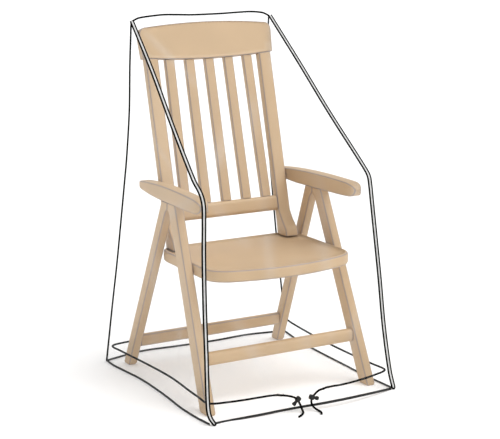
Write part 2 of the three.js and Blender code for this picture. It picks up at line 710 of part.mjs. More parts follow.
// Spring lock: a squarish body with a bore for the cord, and a round button beside it
function lockAxes(place) {
  const lean = THREE.MathUtils.degToRad(place.lean);
  const along = new THREE.Vector3(Math.cos(lean), 0, Math.sin(lean));
  return { centre: new THREE.Vector3(place.x, place.y, place.z), along, across: Y.clone().cross(along) };
}

function lockBody(place, route) {
  const { centre, along, across } = lockAxes(place);
  const half = along.clone().multiplyScalar(LOCK_BODY.length / 2);
  const from = centre.clone().sub(half);
  const to = centre.clone().add(half);
  const block = bar(from, to, LOCK_BODY.width, LOCK_BODY.depth, LOCK_SOFT.edge, across, Y.clone().negate());
  const bore = tube(route.map((point) => new THREE.Vector3(...point)), LOCK_BORE, BORE_SIDES, BORE_STEPS);
  return toGeometry(toSolid(block).subtract(toSolid(bore)));
}

function lockButton(place) {
  const { centre, along } = lockAxes(place);
  const start = centre.clone().addScaledVector(along, -(LOCK_BODY.length / 2 + GAP));
  const profile = BUTTON_PROFILE.map(({ out, along: share }) => {
    return new THREE.Vector2(out * LOCK_BUTTON.radius, share * LOCK_BUTTON.length);
  });
  const geometry = new THREE.LatheGeometry(profile, BUTTON_SIDES);
  geometry.applyQuaternion(new THREE.Quaternion().setFromUnitVectors(Y, along.clone().negate()));
  return geometry.translate(start.x, start.y, start.z);
}

// Chair
function onBack(x, along, out = 0) {
  const y = BACK_FOOT + along * Math.sin(RAKE) - out * Math.cos(RAKE);
  const z = SEAT_TOP + along * Math.cos(RAKE) + out * Math.sin(RAKE);
  return new THREE.Vector3(x, y, z);
}
const BACK_UP = new THREE.Vector3(0, Math.sin(RAKE), Math.cos(RAKE));
const BACK_OUT = new THREE.Vector3(0, -Math.cos(RAKE), Math.sin(RAKE));

// Height up the back of the top rail's lower edge
function railFoot(x) {
  const { lowMiddle, lowEnds } = RAIL_EDGES;
  return lowMiddle + (lowEnds - lowMiddle) * (x / (TOP_RAIL.half - TOP_RAIL.inset)) ** 2;
}

// Plate with softened edges, of a flat shape; its middle plane is at zero
function softPlate(shape, thick, soft, curveSegments) {
  const depth = thick - 2 * soft;
  const bevel = { bevelThickness: soft, bevelSize: soft, bevelOffset: -soft, bevelSegments: 3 };
  const geometry = new THREE.ExtrudeGeometry(shape, { depth, steps: 1, curveSegments, ...bevel });
  return geometry.translate(0, 0, -depth / 2);
}

function outlineShape(rows) {
  const shape = new THREE.Shape();
  shape.moveTo(rows[0].x, rows[0].y);
  for (const { x, y, leanX, leanY } of rows.slice(1)) {
    if (leanX === undefined) {
      shape.lineTo(x, y);
    } else {
      shape.quadraticCurveTo(leanX, leanY, x, y);
    }
  }
  return shape;
}

function topRail() {
  const { half, thick, soft, corner, inset } = TOP_RAIL;
  const { topMiddle, topEnds, lowMiddle, lowEnds } = RAIL_EDGES;
  const shape = outlineShape([
    { x: -half + inset, y: lowEnds },
    { x: half - inset, y: lowEnds, leanX: 0, leanY: 2 * lowMiddle - lowEnds },
    { x: half, y: topEnds - corner },
    { x: half - corner, y: topEnds, leanX: half, leanY: topEnds },
    { x: -half + corner, y: topEnds, leanX: 0, leanY: 2 * topMiddle - topEnds },
    { x: -half, y: topEnds - corner, leanX: -half, leanY: topEnds },
  ]);
  const axes = new THREE.Matrix4().makeBasis(X, BACK_UP, BACK_OUT);
  axes.setPosition(onBack(0, 0));
  return softPlate(shape, thick, soft, BACK_CURVE_STEPS).applyMatrix4(axes);
}

// Loop of an upright's top, which follows the top rail's lower edge
function loopUnderRail(outline, x) {
  const loop = outline.map((point) => {
    return onBack(x + point.x, railFoot(x + point.x) - GAP, -point.y);
  });
  loop.outline = outline;
  return loop;
}

function stile(side) {
  const loops = STILE_FOOT.map(({ along, out, depth, wide }, index) => {
    const share = along / RAIL_EDGES.lowMiddle;
    const x = side * THREE.MathUtils.lerp(STILE.footHalf, STILE.topHalf, share);
    const outline = roundedOutline(STILE.width * wide, depth, STILE.radius);
    const centre = onBack(x, along, out);
    if (index === 0) {
      centre.z = SEAT_TOP + GAP;
    }
    return loopAt(outline, centre, X, index === 0 ? Y : BACK_OUT.clone().negate());
  });
  loops.push(loopUnderRail(roundedOutline(STILE.width, STILE.thick, STILE.radius), side * STILE.topHalf));
  return loft(loops);
}

function slat(index) {
  const share = index / (SLATS - 1) * 2 - 1;
  const low = LOWER_RAIL.centre + LOWER_RAIL.height / 2 + GAP;
  const outline = roundedOutline(SLAT.width, SLAT.thick, SLAT.radius);
  const foot = loopAt(outline, onBack(share * SLAT.footHalf, low), X, BACK_OUT.clone().negate());
  return loft([foot, loopUnderRail(outline, share * SLAT.topHalf)]);
}

function lowerRail() {
  const { centre, height, thick, radius } = LOWER_RAIL;
  const share = (centre + height / 2) / RAIL_EDGES.lowMiddle;
  const half = THREE.MathUtils.lerp(STILE.footHalf, STILE.topHalf, share) - STILE.width / 2 - 2 * GAP;
  const outline = roundedOutline(thick, height, radius);
  const back = BACK_OUT.clone().negate();
  return loft([-half, half].map((x) => loopAt(outline, onBack(x, centre), back, BACK_UP)));
}

function seat() {
  const geometry = softPlate(outlineShape(SEAT_OUTLINE), SEAT_THICK, SEAT_SOFT, SEAT_CURVE_STEPS);
  return geometry.translate(0, 0, SEAT_TOP - SEAT_THICK / 2);
}

// A leg leans outwards and away from its partner; its web reaches towards that partner
function leg(side, { foot, top, depth }) {
  const towards = Math.sign(top - foot);
  return loft(LEG_ROWS.map(({ height, inset, web }) => {
    const share = height / LEG.height;
    const x = side * THREE.MathUtils.lerp(LEG.footHalf, LEG.topHalf, share);
    const y = THREE.MathUtils.lerp(foot, top, share) + towards * web / 2;
    const outline = roundedOutline(LEG.thick - 2 * inset, depth + web - 2 * inset, LEG.radius - inset / 2);
    return loopAt(outline, new THREE.Vector3(x, y, height), X, Y);
  }));
}

function arm(side) {
  const geometry = softPlate(outlineShape(ARM_OUTLINE), ARM.width, ARM.soft, ARM_CURVE_STEPS);
  geometry.applyMatrix4(new THREE.Matrix4().makeBasis(Y, Z, X));
  geometry.rotateZ(THREE.MathUtils.degToRad(side * ARM.splay));
  return geometry.translate(side * ARM.middle, 0, ARM.low);
}

function crossBar({ height, high, thick }, legPlace) {
  const share = height / LEG.height;
  const half = THREE.MathUtils.lerp(LEG.footHalf, LEG.topHalf, share + BAR_END) - LEG.thick / 2 - GAP;
  const y = THREE.MathUtils.lerp(legPlace.foot, legPlace.top, share);
  const outline = roundedOutline(thick, high, thick / 2 - 1);
  return loft([-half, half].map((x) => loopAt(outline, new THREE.Vector3(x, y, height), Y, Z)));
}

add('front_panel', frontPanel(), 'film');
add('left_panel', sidePanel(-1), 'film');
add('right_panel', sidePanel(1), 'film');
add('back_panel', backPanel(), 'film');
add('seam_tape_left', seamTape(-1), 'tape');
add('seam_tape_right', seamTape(1), 'tape');
add('ridge_piping', ridgePiping(), 'black');
add('back_piping_left', backPiping(-1), 'black');
add('back_piping_right', backPiping(1), 'black');
add('drawcord', drawcord(), 'black');
add('cord_end_left', cordEnd(LEFT_END), 'black');
add('cord_end_right', cordEnd(RIGHT_END), 'black');
add('lock_body_left', lockBody(LEFT_LOCK, LEFT_END), 'black');
add('lock_body_right', lockBody(RIGHT_LOCK, RIGHT_END), 'black');
add('lock_button_left', lockButton(LEFT_LOCK), 'black');
add('lock_button_right', lockButton(RIGHT_LOCK), 'black');
add('chair_top_rail', topRail(), 'chair');
add('chair_lower_rail', lowerRail(), 'chair');
add('chair_seat', seat(), 'chair');
for (let index = 0; index < SLATS; index += 1) {
  add(`chair_slat_${index + 1}`, slat(index), 'chair');
}
for (const [name, side] of [['left', -1], ['right', 1]]) {
  add(`chair_stile_${name}`, stile(side), 'chair');
  add(`chair_arm_${name}`, arm(side), 'chair');
  add(`chair_front_leg_${name}`, leg(side, FRONT_LEG), 'chair');
  add(`chair_back_leg_${name}`, leg(side, BACK_LEG), 'chair');
}
add('chair_front_bar', crossBar(FRONT_BAR, FRONT_LEG), 'chair');
add('chair_back_bar', crossBar(BACK_BAR, BACK_LEG), 'chair');

export default hood;
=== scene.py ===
# %% [markdown]
# # A clear hood for a folding armchair
# The hood is four panels of clear film, joined down the front by white tapes with black edges and
# elsewhere by black piping. A black drawcord runs inside the hem and comes out through two holes,
# into two spring locks. Under it stands a plain beige armchair, which shows through the film.
# Everything is in metres, with the front towards -Y and the floor at zero.

# %% Load the frame
import math
from functools import partial

import bmesh
import bpy
from mathutils import Matrix, Vector


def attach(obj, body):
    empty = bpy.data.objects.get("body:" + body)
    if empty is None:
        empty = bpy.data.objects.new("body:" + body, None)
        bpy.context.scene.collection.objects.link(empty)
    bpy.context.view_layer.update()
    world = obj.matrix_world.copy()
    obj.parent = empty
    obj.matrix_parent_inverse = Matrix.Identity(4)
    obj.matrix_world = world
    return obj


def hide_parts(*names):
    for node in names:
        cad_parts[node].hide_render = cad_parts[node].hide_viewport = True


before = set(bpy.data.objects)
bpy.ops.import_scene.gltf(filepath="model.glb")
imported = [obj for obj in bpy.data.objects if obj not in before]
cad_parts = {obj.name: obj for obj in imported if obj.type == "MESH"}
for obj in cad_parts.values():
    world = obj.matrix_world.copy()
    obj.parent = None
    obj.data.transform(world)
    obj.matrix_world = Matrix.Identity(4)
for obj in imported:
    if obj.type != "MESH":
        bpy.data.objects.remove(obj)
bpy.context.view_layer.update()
MM = 0.001
print("frame pieces:", len(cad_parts))

# %% [markdown]
# ## Camera
# The picture is seen from the left front, a little above the seat, with a long lens. The distance
# and lens came from matching the corners of the hood, and the small shift recentres the view.

# %% Camera
FRONT_SHIFT = 8.9 * MM
VIEW = {"azimuth": -0.4889, "elevation": 0.1984, "roll": -0.01325, "distance": 4.4393}
LOOK_AT = Vector((0, FRONT_SHIFT, 0.55))
LENS = 99.81
SHIFT = (0.0099, -0.0201)
X_AXIS, Y_AXIS, Z_AXIS = Vector((1, 0, 0)), Vector((0, 1, 0)), Vector((0, 0, 1))


def in_scene(name, data):
    made = bpy.data.objects.new(name, data)
    bpy.context.scene.collection.objects.link(made)
    return made


def place_camera():
    turn, rise, roll = VIEW["azimuth"], VIEW["elevation"], VIEW["roll"]
    back = Vector((math.sin(turn) * math.cos(rise), -math.cos(turn) * math.cos(rise), math.sin(rise)))
    right = Z_AXIS.cross(back).normalized()
    up = back.cross(right)
    across = right * math.cos(roll) + up * math.sin(roll)
    upright = up * math.cos(roll) - right * math.sin(roll)
    data = bpy.data.cameras.new("camera")
    data.lens = LENS
    data.shift_x, data.shift_y = SHIFT
    camera = in_scene("camera", data)
    turned = Matrix((across, upright, back)).transposed().to_4x4()
    camera.matrix_world = Matrix.Translation(LOOK_AT + back * VIEW["distance"]) @ turned
    bpy.context.scene.camera = camera
    return camera


print("camera at", [round(value, 3) for value in place_camera().location])

# %% [markdown]
# ## Shared surface effects
# Woven and moulded surfaces need fine relief. Each effect is one node group, built once and placed
# in every material that needs it with its own values. The groups put out heights and masks, and the
# weave also a painted shade, darker between its threads.

# %% Node helpers


def feed(tree, socket, value):
    """Links an input to an output, or sets its value."""
    if isinstance(value, bpy.types.NodeSocket):
        tree.links.new(value, socket)
    else:
        socket.default_value = value


def node(tree, kind, feeds=None, **settings):
    """A new node: its settings first, then what goes into its sockets."""
    made = tree.nodes.new(kind)
    for name, value in settings.items():
        setattr(made, name, value)
    for key, value in (feeds or {}).items():
        feed(tree, made.inputs[key], value)
    return made


def maths(tree, operation, *values):
    return node(tree, "ShaderNodeMath", dict(enumerate(values)), operation=operation).outputs[0]


def apart(tree, vector):
    return node(tree, "ShaderNodeSeparateXYZ", {0: vector}).outputs


def new_tree(name, kind, inputs, outputs):
    """A node tree with its named sockets, and what comes in and goes out."""
    tree = bpy.data.node_groups.new(name, kind)
    for direction, sockets in (("INPUT", inputs), ("OUTPUT", outputs)):
        for label, value_kind, *value in sockets:
            socket = tree.interface.new_socket(label, in_out=direction, socket_type=f"NodeSocket{value_kind}")
            if value:
                socket.default_value = value[0]
    return tree, node(tree, "NodeGroupInput").outputs, node(tree, "NodeGroupOutput").inputs


# %% Weave, grain and mottle groups


def weave_group():
    """Crossed threads: two sine ribs at right angles in the given coordinates, and a painted shade that
    darkens the colour between the ribs.
    """
    tree, start, end = new_tree(
        "woven threads", "ShaderNodeTree", [("Vector", "Vector"), ("Threads", "Float", 900.0)],
        [("Height", "Float"), ("Shade", "Float")])
    waves = []
    for across in list(apart(tree, start["Vector"]))[:2]:
        turns = maths(tree, "MULTIPLY", across, start["Threads"])
        waves.append(maths(tree, "SINE", maths(tree, "MULTIPLY", turns, 2 * math.pi)))
    height = maths(tree, "MULTIPLY_ADD", maths(tree, "MULTIPLY", *waves), 0.5, 0.5)
    feed(tree, end["Height"], height)
    # painted shade: the colour falls to 0.7 where the threads sink
    feed(tree, end["Shade"], maths(tree, "MULTIPLY_ADD", height, 0.3, 0.7))
    return tree


def grain_group():
    """Fine moulded grain with a little uneven gloss."""
    tree, start, end = new_tree(
        "moulded grain", "ShaderNodeTree", [("Vector", "Vector"), ("Grain", "Float", 900.0)],
        [("Height", "Float"), ("Gloss", "Float")])
    cells = node(tree, "ShaderNodeTexVoronoi", {"Vector": start["Vector"], "Scale": start["Grain"]},
                 feature="SMOOTH_F1")
    patches = node(tree, "ShaderNodeTexNoise", {"Vector": start["Vector"], "Scale": 9.0, "Detail": 4.0})
    feed(tree, end["Height"], cells.outputs["Distance"])
    feed(tree, end["Gloss"], patches.outputs["Fac"])
    return tree


def mottle_group():
    """Broad soft unevenness of a colour, between two limits."""
    tree, start, end = new_tree(
        "uneven tone", "ShaderNodeTree",
        [("Vector", "Vector"), ("Size", "Float", 6.0), ("Low", "Float", 0.9), ("High", "Float", 1.05)],
        [("Tone", "Float")])
    patches = node(tree, "ShaderNodeTexNoise", {
        "Vector": start["Vector"], "Scale": start["Size"], "Detail": 5.0})
    span = node(tree, "ShaderNodeMapRange", {
        "Value": patches.outputs["Fac"], "From Min": 0.3, "From Max": 0.7,
        "To Min": start["Low"], "To Max": start["High"]})
    feed(tree, end["Tone"], span.outputs["Result"])
    return tree


WEAVE, GRAIN, MOTTLE = weave_group(), grain_group(), mottle_group()
print("effects:", WEAVE.name, "|", GRAIN.name, "|", MOTTLE.name)

# %% [markdown]
# ## Materials
# Six finishes: clear film, white woven tape, black bound piping, black braided cord, black moulded
# plastic and beige moulded plastic. Two threads are added with the stitches. Film is clear where it
# faces the eye and milkier where it turns away, so its alpha follows the Layer Weight. Along its
# folds the alpha is raised a little more, a painted highlight.

# %% Material helpers


def blank_material(name):
    material = bpy.data.materials.new(name)
    material.use_nodes = True
    tree = material.node_tree
    shader = next(n for n in tree.nodes if n.type == "BSDF_PRINCIPLED")
    return material, tree, shader.inputs, node(tree, "ShaderNodeTexCoord").outputs


def effect(tree, group, coordinates, **values):
    return node(tree, "ShaderNodeGroup", {"Vector": coordinates, **values}, node_tree=group).outputs


def mark(tree, name):
    return node(tree, "ShaderNodeAttribute", attribute_name=name).outputs["Fac"]


def mixed_colour(tree, factor, first, second, **settings):
    feeds = {"Factor": factor, "A": first, "B": second}
    return node(tree, "ShaderNodeMix", feeds, data_type="RGBA", **settings).outputs["Result"]


def tinted(tree, colour, tone):
    return mixed_colour(tree, 1.0, (*colour, 1), tone, blend_type="MULTIPLY")


def relief(tree, shader, height, distance, strength=1.0):
    bump = node(tree, "ShaderNodeBump", {"Height": height, "Distance": distance, "Strength": strength})
    feed(tree, shader["Normal"], bump.outputs["Normal"])


# %% Clear film
FILM_COLOUR = (0.80, 0.84, 0.88)
# alpha facing the eye, at the edge of view, and extra along folds; the extra along folds is a painted
# highlight
FACE_VEIL, EDGE_VEIL, FOLD_HIGHLIGHT = 0.003, 0.24, 0.06
BLACK = (0.002, 0.002, 0.002)
HEM_HEIGHT = 6.5 * MM


def film_material():
    """Clear film, black over the turned hem at the foot of its UV map."""
    material, tree, shader, place = blank_material("clear film")
    tone = effect(tree, MOTTLE, place["Object"], Size=5.0, Low=0.96, High=1.0)["Tone"]
    hem = maths(tree, "LESS_THAN", apart(tree, place["UV"])["Y"], HEM_HEIGHT)
    feed(tree, shader["Base Color"], mixed_colour(tree, hem, tinted(tree, FILM_COLOUR, tone), (*BLACK, 1)))
    facing = node(tree, "ShaderNodeLayerWeight", {"Blend": 0.35}).outputs["Facing"]
    film_alpha = maths(tree, "MULTIPLY_ADD", maths(tree, "POWER", facing, 3.0), EDGE_VEIL, FACE_VEIL)
    # painted highlight: the alpha rises along the folds, so the pale film shows there as light lines
    film_alpha = maths(tree, "MULTIPLY_ADD", mark(tree, "fold"), FOLD_HIGHLIGHT, film_alpha)
    feed(tree, shader["Alpha"], maths(tree, "MAXIMUM", film_alpha, hem))
    ripple = node(tree, "ShaderNodeTexNoise", {
        "Vector": place["Object"], "Scale": 16.0, "Detail": 3.0, "Distortion": 0.6})
    relief(tree, shader, ripple.outputs["Fac"], 2.5 * MM)
    feed(tree, shader["Roughness"], maths(tree, "MULTIPLY_ADD", hem, 0.4, 0.09))
    return material


# %% Woven and moulded finishes
CHAIR_COLOUR = (0.555, 0.395, 0.238)
WORN_COLOUR = (0.27, 0.235, 0.245)
WORN_STRENGTH = 0.95


def woven_material(name, colour, threads, roughness, thread_height, surface="UV"):
    material, tree, shader, place = blank_material(name)
    weave = effect(tree, WEAVE, place[surface], Threads=threads)
    tone = effect(tree, MOTTLE, place["Object"], Size=40.0, Low=0.85, High=1.1)["Tone"]
    # the weave's Shade darkens the colour between the threads, a painted shade
    feed(tree, shader["Base Color"], tinted(tree, colour, maths(tree, "MULTIPLY", weave["Shade"], tone)))
    relief(tree, shader, weave["Height"], thread_height)
    shader["Roughness"].default_value = roughness
    shader["Specular IOR Level"].default_value = 0.05
    return material


def moulded_material(name, colour, grain, roughness, grain_height, worn=None):
    material, tree, shader, place = blank_material(name)
    skin = effect(tree, GRAIN, place["Object"], Grain=grain)
    tone = effect(tree, MOTTLE, place["Object"], Size=7.0, Low=0.94, High=1.03)["Tone"]
    surface = tinted(tree, colour, tone)
    if worn is not None:
        share = maths(tree, "MULTIPLY", mark(tree, "worn"), WORN_STRENGTH)
        surface = mixed_colour(tree, share, surface, (*worn, 1))
    feed(tree, shader["Base Color"], surface)
    relief(tree, shader, skin["Height"], grain_height, 0.5)
    feed(tree, shader["Roughness"], maths(tree, "MULTIPLY_ADD", skin["Gloss"], 0.16, roughness - 0.08))
    return material


FILM = film_material()
TAPE = woven_material("white woven tape", (0.86, 0.86, 0.85), 1100.0, 0.7, 0.3 * MM)
PIPING = woven_material("black bound piping", BLACK, 1400.0, 0.9, 0.2 * MM)
CORD = woven_material("black braided cord", BLACK, 650.0, 0.85, 0.4 * MM)
LOCK = moulded_material("black moulded plastic", (0.002, 0.002, 0.0022), 2200.0, 0.7, 0.06 * MM)
CHAIR = moulded_material("beige moulded plastic", CHAIR_COLOUR, 1300.0, 0.5, 0.08 * MM, worn=WORN_COLOUR)
print("materials:", len(bpy.data.materials))

# %% [markdown]
# ## Mesh helpers
# Most pieces are lofts: a loop of points is carried along a path and the loops are bridged. A tube
# keeps its own UV map, round and along in metres, so that threads follow the cord.

# %% Mesh helpers


def piece_from(name, points, faces, material, loops_uv=None):
    mesh = bpy.data.meshes.new(name)
    mesh.from_pydata([tuple(point) for point in points], [], faces)
    if loops_uv is not None:
        layer = mesh.uv_layers.new(name="surface")
        for polygon, corners in zip(mesh.polygons, loops_uv):
            for index, uv in zip(polygon.loop_indices, corners):
                layer.data[index].uv = uv
    mesh.shade_smooth()
    mesh.validate()
    mesh.materials.append(material)
    return in_scene(name, mesh)


def turned_outwards(made):
    """Every face of a closed piece looks out."""
    build = bmesh.new()
    build.from_mesh(made.data)
    bmesh.ops.recalc_face_normals(build, faces=build.faces)
    build.to_mesh(made.data)
    build.free()
    return made


def give_values(made, name, values):
    made.data.attributes.new(name, "FLOAT", "POINT").data.foreach_set("value", values)


def bridges(rows, count):
    """Faces between neighbouring loops of the same number of points."""
    faces = []
    for first in range(0, (rows - 1) * count, count):
        for i in range(count):
            j = (i + 1) % count
            faces.append((first + i, first + j, first + count + j, first + count + i))
    return faces


def stands_for(piece, slot, *nodes):
    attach(piece, "root")
    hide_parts(*nodes)
    return piece


# %% Paths and tubes


def smooth_path(points, step):
    """Points about a step apart on a centripetal curve through the given ones."""
    def mix(p, q, low, high, t):
        return p * ((high - t) / (high - low)) + q * ((t - low) / (high - low))

    ends = [points[0] * 2 - points[1], *points, points[-1] * 2 - points[-2]]
    path = []
    for a, b, c, d in zip(ends, ends[1:], ends[2:], ends[3:]):
        knots = [0.0]
        for p, q in ((a, b), (b, c), (c, d)):
            knots.append(knots[-1] + max((q - p).length, 1e-6) ** 0.5)
        k0, k1, k2, k3 = knots
        count = max(1, round((c - b).length / step))
        for s in range(count):
            t = k1 + (k2 - k1) * s / count
            ab, bc, cd = mix(a, b, k0, k1, t), mix(b, c, k1, k2, t), mix(c, d, k2, k3, t)
            path.append(mix(mix(ab, bc, k0, k2, t), mix(bc, cd, k1, k3, t), k1, k2, t))
    return [*path, points[-1].copy()]


def path_length(path):
    return sum((b - a).length for a, b in zip(path, path[1:]))


def tube(name, path, radius, sides, material, relief_at=lambda turn, along: 0.0):
    """Round tube along a path, closed by a low dome at each end; relief_at adds to its radius."""
    last = len(path) - 1
    first = (path[1] - path[0]).normalized()
    right = first.cross(Z_AXIS)
    if right.length < 0.1:
        right = first.cross(Y_AXIS)
    turns = [2 * math.pi * s / sides for s in range(sides)]
    points, places = [], []
    for i, centre in enumerate(path):
        direction = (path[min(i + 1, last)] - path[max(i - 1, 0)]).normalized()
        right = (right - direction * right.dot(direction)).normalized()
        up = direction.cross(right)
        places.append(places[-1] + (centre - path[i - 1]).length if i else 0.0)
        for turn in turns:
            reach = (radius + relief_at(turn, places[-1])) * (0.8 if i in (0, last) else 1.0)
            points.append(centre + (right * math.cos(turn) + up * math.sin(turn)) * reach)
    spans = [(turn * radius, (turn + turns[1]) * radius) for turn in turns]
    faces = bridges(last + 1, sides)
    loops_uv = [((u, low), (v, low), (v, high), (u, high))
                for low, high in zip(places, places[1:]) for u, v in spans]
    for i in (0, last):
        points.append(path[i])
        for s, (u, v) in enumerate(spans):
            faces.append((i * sides + s, i * sides + (s + 1) % sides, len(points) - 1))
            loops_uv.append([(u, places[i]), (v, places[i]), (0, places[i])])
    return turned_outwards(piece_from(name, points, faces, material, loops_uv))


# %% [markdown]
# ## The cord's two free ends
# The drawcord comes out of the film by two holes, goes through a spring lock each, drops over the
# hem and lies forward on the floor. The routes are the solid model's own points. A braid shows as
# crossed spirals, so the tube's radius rises and falls along two opposite helices.

# %% Free ends of the cord
CORD_RADIUS = 3.4 * MM
BRAID_PITCH = 9.0 * MM
BRAID_STRANDS = 6
BRAID_RELIEF = 0.16 * MM
SIDES = ((-1, "left"), (1, "right"))
CORD_ROUTES = {
    "left": [
        (-114, -375.2, 57), (-104, -377.3, 57), (-95, -383.5, 57), (-87, -390.5, 57), (-79, -396.5, 56.5),
        (-70, -400, 54.5), (-60, -401.5, 51), (-51, -401.5, 46), (-43.5, -401, 38.5), (-38, -401.5, 30),
        (-34, -403, 21), (-32, -406.5, 12), (-32, -412, 6.4),
        (-34, -419, 4.1), (-39, -427, 3.7), (-47, -435, 3.7), (-56, -442, 3.7), (-66, -448, 3.7),
    ],
    "right": [
        (78, -394.5, 58), (67, -396, 58.5), (57, -400, 59.5), (47, -406, 60.5), (38, -410.5, 61.3),
        (28, -412.5, 61), (19, -413, 57.5), (11, -412.5, 51),
        (5, -411.5, 44), (1, -411, 37), (-1, -411.5, 30), (0, -413.5, 21), (4, -417, 12.5),
        (9, -423, 6.8), (13, -431, 4.1), (14, -440, 3.7), (11, -450, 3.7), (6, -460, 3.7),
    ],
}


def lifted(point):
    """A point of the solid model's tables, in metres and in the frame."""
    return Vector(point) * MM + Vector((0, FRONT_SHIFT, 0))


def braid(turn, along):
    phase = 2 * math.pi * along / BRAID_PITCH
    strands = BRAID_STRANDS / 2 * turn
    return BRAID_RELIEF * math.sin(strands + phase) * math.sin(strands - phase)


for label, route in CORD_ROUTES.items():
    stops = [lifted(point) for point in route]
    path = smooth_path(stops, 1.2 * MM)
    free_end = tube(f"free_cord_{label}", path, CORD_RADIUS - BRAID_RELIEF, 20, CORD, braid)
    stands_for(free_end, "cord", f"cord_end_{label}")
    [tuple(point) for point in smooth_path(stops, 6 * MM)]
    print(f"{label} end: {path_length(path) * 1000:.0f} mm of cord")

# %% [markdown]
# ## The hood's shape
# All of the hood hangs from one table: where its four corner seams stand at each height. A smooth
# curve runs through the rows. Each panel spans two seams and swells in or out between them by its
# own small table, so the hem waves as it does in the picture.

# %% Tables of the hood
RIDGE_HEIGHT = 1150
SIDE_TOP = 1141
CORNER_COLUMNS = ("height", "left_depth", "right_depth", "front_half", "back_depth", "back_half")
CORNERS = [
    (0, -374, -371, 325, 362, 347), (60, -356, -352, 322, 354, 342), (200, -338, -328, 315, 347, 325),
    (350, -321, -312, 309, 339, 306), (500, -306, -296, 301, 332, 289), (600, -299, -286, 295, 327, 278),
    (645, -292, -282, 292, 325, 273), (675, -269, -275, 290, 323, 270), (705, -220, -245, 287, 322, 267),
    (850, -55, -66, 276, 314, 257), (1000, 108, 106, 264, 305, 254), (1150, 286, 286, 253, 286, 253),
]
# Each row: share of the width, then the swell at each of the panel's bands
FRONT_BANDS = (0, 60, 330, 660, 900, 1130, 1148)
FRONT_BULGE = [
    (0, 0, 0, 0, 0, 0, 0, 0), (0.08, -6, 12, 7, 2, -2, 2, 0), (0.17, 2, 20, 12, 4, -5, 2.4, 0),
    (0.27, 8, 24, 16, 5, -7, 2.4, 0), (0.38, 4, 33, 20, 6, -8, 2.4, 0), (0.47, 18, 40, 22, 7, -8, 2.4, 0),
    (0.56, 42, 45, 22, 7, -8, 2.4, 0), (0.64, 48, 48, 21, 6, -7, 2.4, 0), (0.74, 44, 45, 18, 5, -6, 2.4, 0),
    (0.87, 27, 28, 11, 3, -3, 2.5, 0), (1, 0, 0, 0, 0, 0, 0, 0),
]
SIDE_BANDS = (0, 60, 330, 640, 1000)
LEFT_BULGE = [
    (0, 0, 0, 0, 0, 0), (0.1, 6, -3, -2, 1, 0), (0.23, 6, -9, -4, 3, 0), (0.38, -3, -18, -6, 4, 1),
    (0.52, -9, -18, -7, 5, 1), (0.67, -11, -13, -5, 6, 1), (0.8, -4, -7, -3, 6, 1),
    (0.92, 3, -2, -1, 3, 0), (1, 0, 0, 0, 0, 0),
]
RIGHT_BULGE = [
    (0, 0, 0, 0, 0, 0), (0.1, -6, -3, -2, 1, 0), (0.23, -12, -9, -5, 3, 0), (0.38, -13, -14, -7, 5, 1),
    (0.52, -15, -15, -8, 5, 1), (0.67, -16, -13, -6, 6, 1), (0.8, -15, -9, -3, 6, 1),
    (0.92, -7, -4, -1, 3, 0), (1, 0, 0, 0, 0, 0),
]
BACK_BANDS = (0, 60, 500, 1110)
BACK_BULGE = [
    (0, 0, 0, 0, 0), (0.1, 20, 12, 4, 0), (0.22, 38, 22, 7, 0), (0.4, 28, 20, 9, 0),
    (0.6, 20, 16, 9, 0), (0.8, 26, 18, 7, 0), (0.92, 13, 8, 3, 0), (1, 0, 0, 0, 0),
]
RIDGE_RISE = [
    (0, -9), (0.02, -2.5), (0.045, 3), (0.08, 6), (0.23, 11), (0.42, 7), (0.65, 7), (0.86, 9),
    (0.95, 4), (0.98, -2), (1, -8),
]
RISE_FADES_OVER = 60

# %% Reading the tables


def clamp(value, low, high):
    return max(low, min(high, value))


def value_at(rows, column, place):
    """Smooth value of one column at a place along the first column."""
    last = len(rows) - 1
    x = clamp(place, rows[0][0], rows[last][0])
    i = 0
    while i < last - 1 and x > rows[i + 1][0]:
        i += 1

    def slope(j):
        before, after = rows[max(j - 1, 0)], rows[min(j + 1, last)]
        return (after[column] - before[column]) / (after[0] - before[0])

    span = rows[i + 1][0] - rows[i][0]
    t = (x - rows[i][0]) / span
    rise = t * t * (3 - 2 * t)
    bends = t * (1 - t) ** 2 * span * slope(i) + t * t * (t - 1) * span * slope(i + 1)
    return rows[i][column] * (1 - rise) + rows[i + 1][column] * rise + bends


def eased(value, low, high):
    t = clamp((value - low) / (high - low), 0, 1)
    return t * t * (3 - 2 * t)


def bulge_at(table, bands, across, height):
    i = 0
    while i < len(bands) - 2 and height > bands[i + 1]:
        i += 1
    blend = eased(height, bands[i], bands[i + 1])
    return value_at(table, i + 1, across) * (1 - blend) + value_at(table, i + 2, across) * blend


def corner(column_half, column_depth, side, height):
    half = value_at(CORNERS, CORNER_COLUMNS.index(column_half), height)
    depth = value_at(CORNERS, CORNER_COLUMNS.index(column_depth), height)
    return Vector((side * half, depth, height))


def front_corner(side, height):
    return corner("front_half", "left_depth" if side < 0 else "right_depth", side, height)


def back_corner(side, height):
    return corner("back_half", "back_depth", side, height)


def front_normal(side, height):
    along = front_corner(side, min(height + 4, RIDGE_HEIGHT)) - front_corner(side, max(height - 4, 0))
    return Vector((0, -along.z, along.y)).normalized()


def ridge_rise(across, height):
    return value_at(RIDGE_RISE, 1, across) * eased(height, RIDGE_HEIGHT - RISE_FADES_OVER, RIDGE_HEIGHT)


# %% Middle surface of each panel
TAPE_RIB = 2.7
TAPE_RIB_AT = 5.2
TAPE_BAND = 1.0
SEAM_GAP = 0.8
PIPING_RADIUS = 3.0
PIPING_GAP = 0.7
RIDGE_GAP = 1.1


def front_point(across, height):
    inset = Vector((TAPE_RIB_AT + TAPE_RIB + SEAM_GAP, 0, 0))
    left, right = front_corner(-1, height) + inset, front_corner(1, height) - inset
    normal = front_normal(-1, height).lerp(front_normal(1, height), across).normalized()
    point = left.lerp(right, across) + normal * bulge_at(FRONT_BULGE, FRONT_BANDS, across, height)
    point.z = max(point.z, 0) + ridge_rise(across, height)
    return point


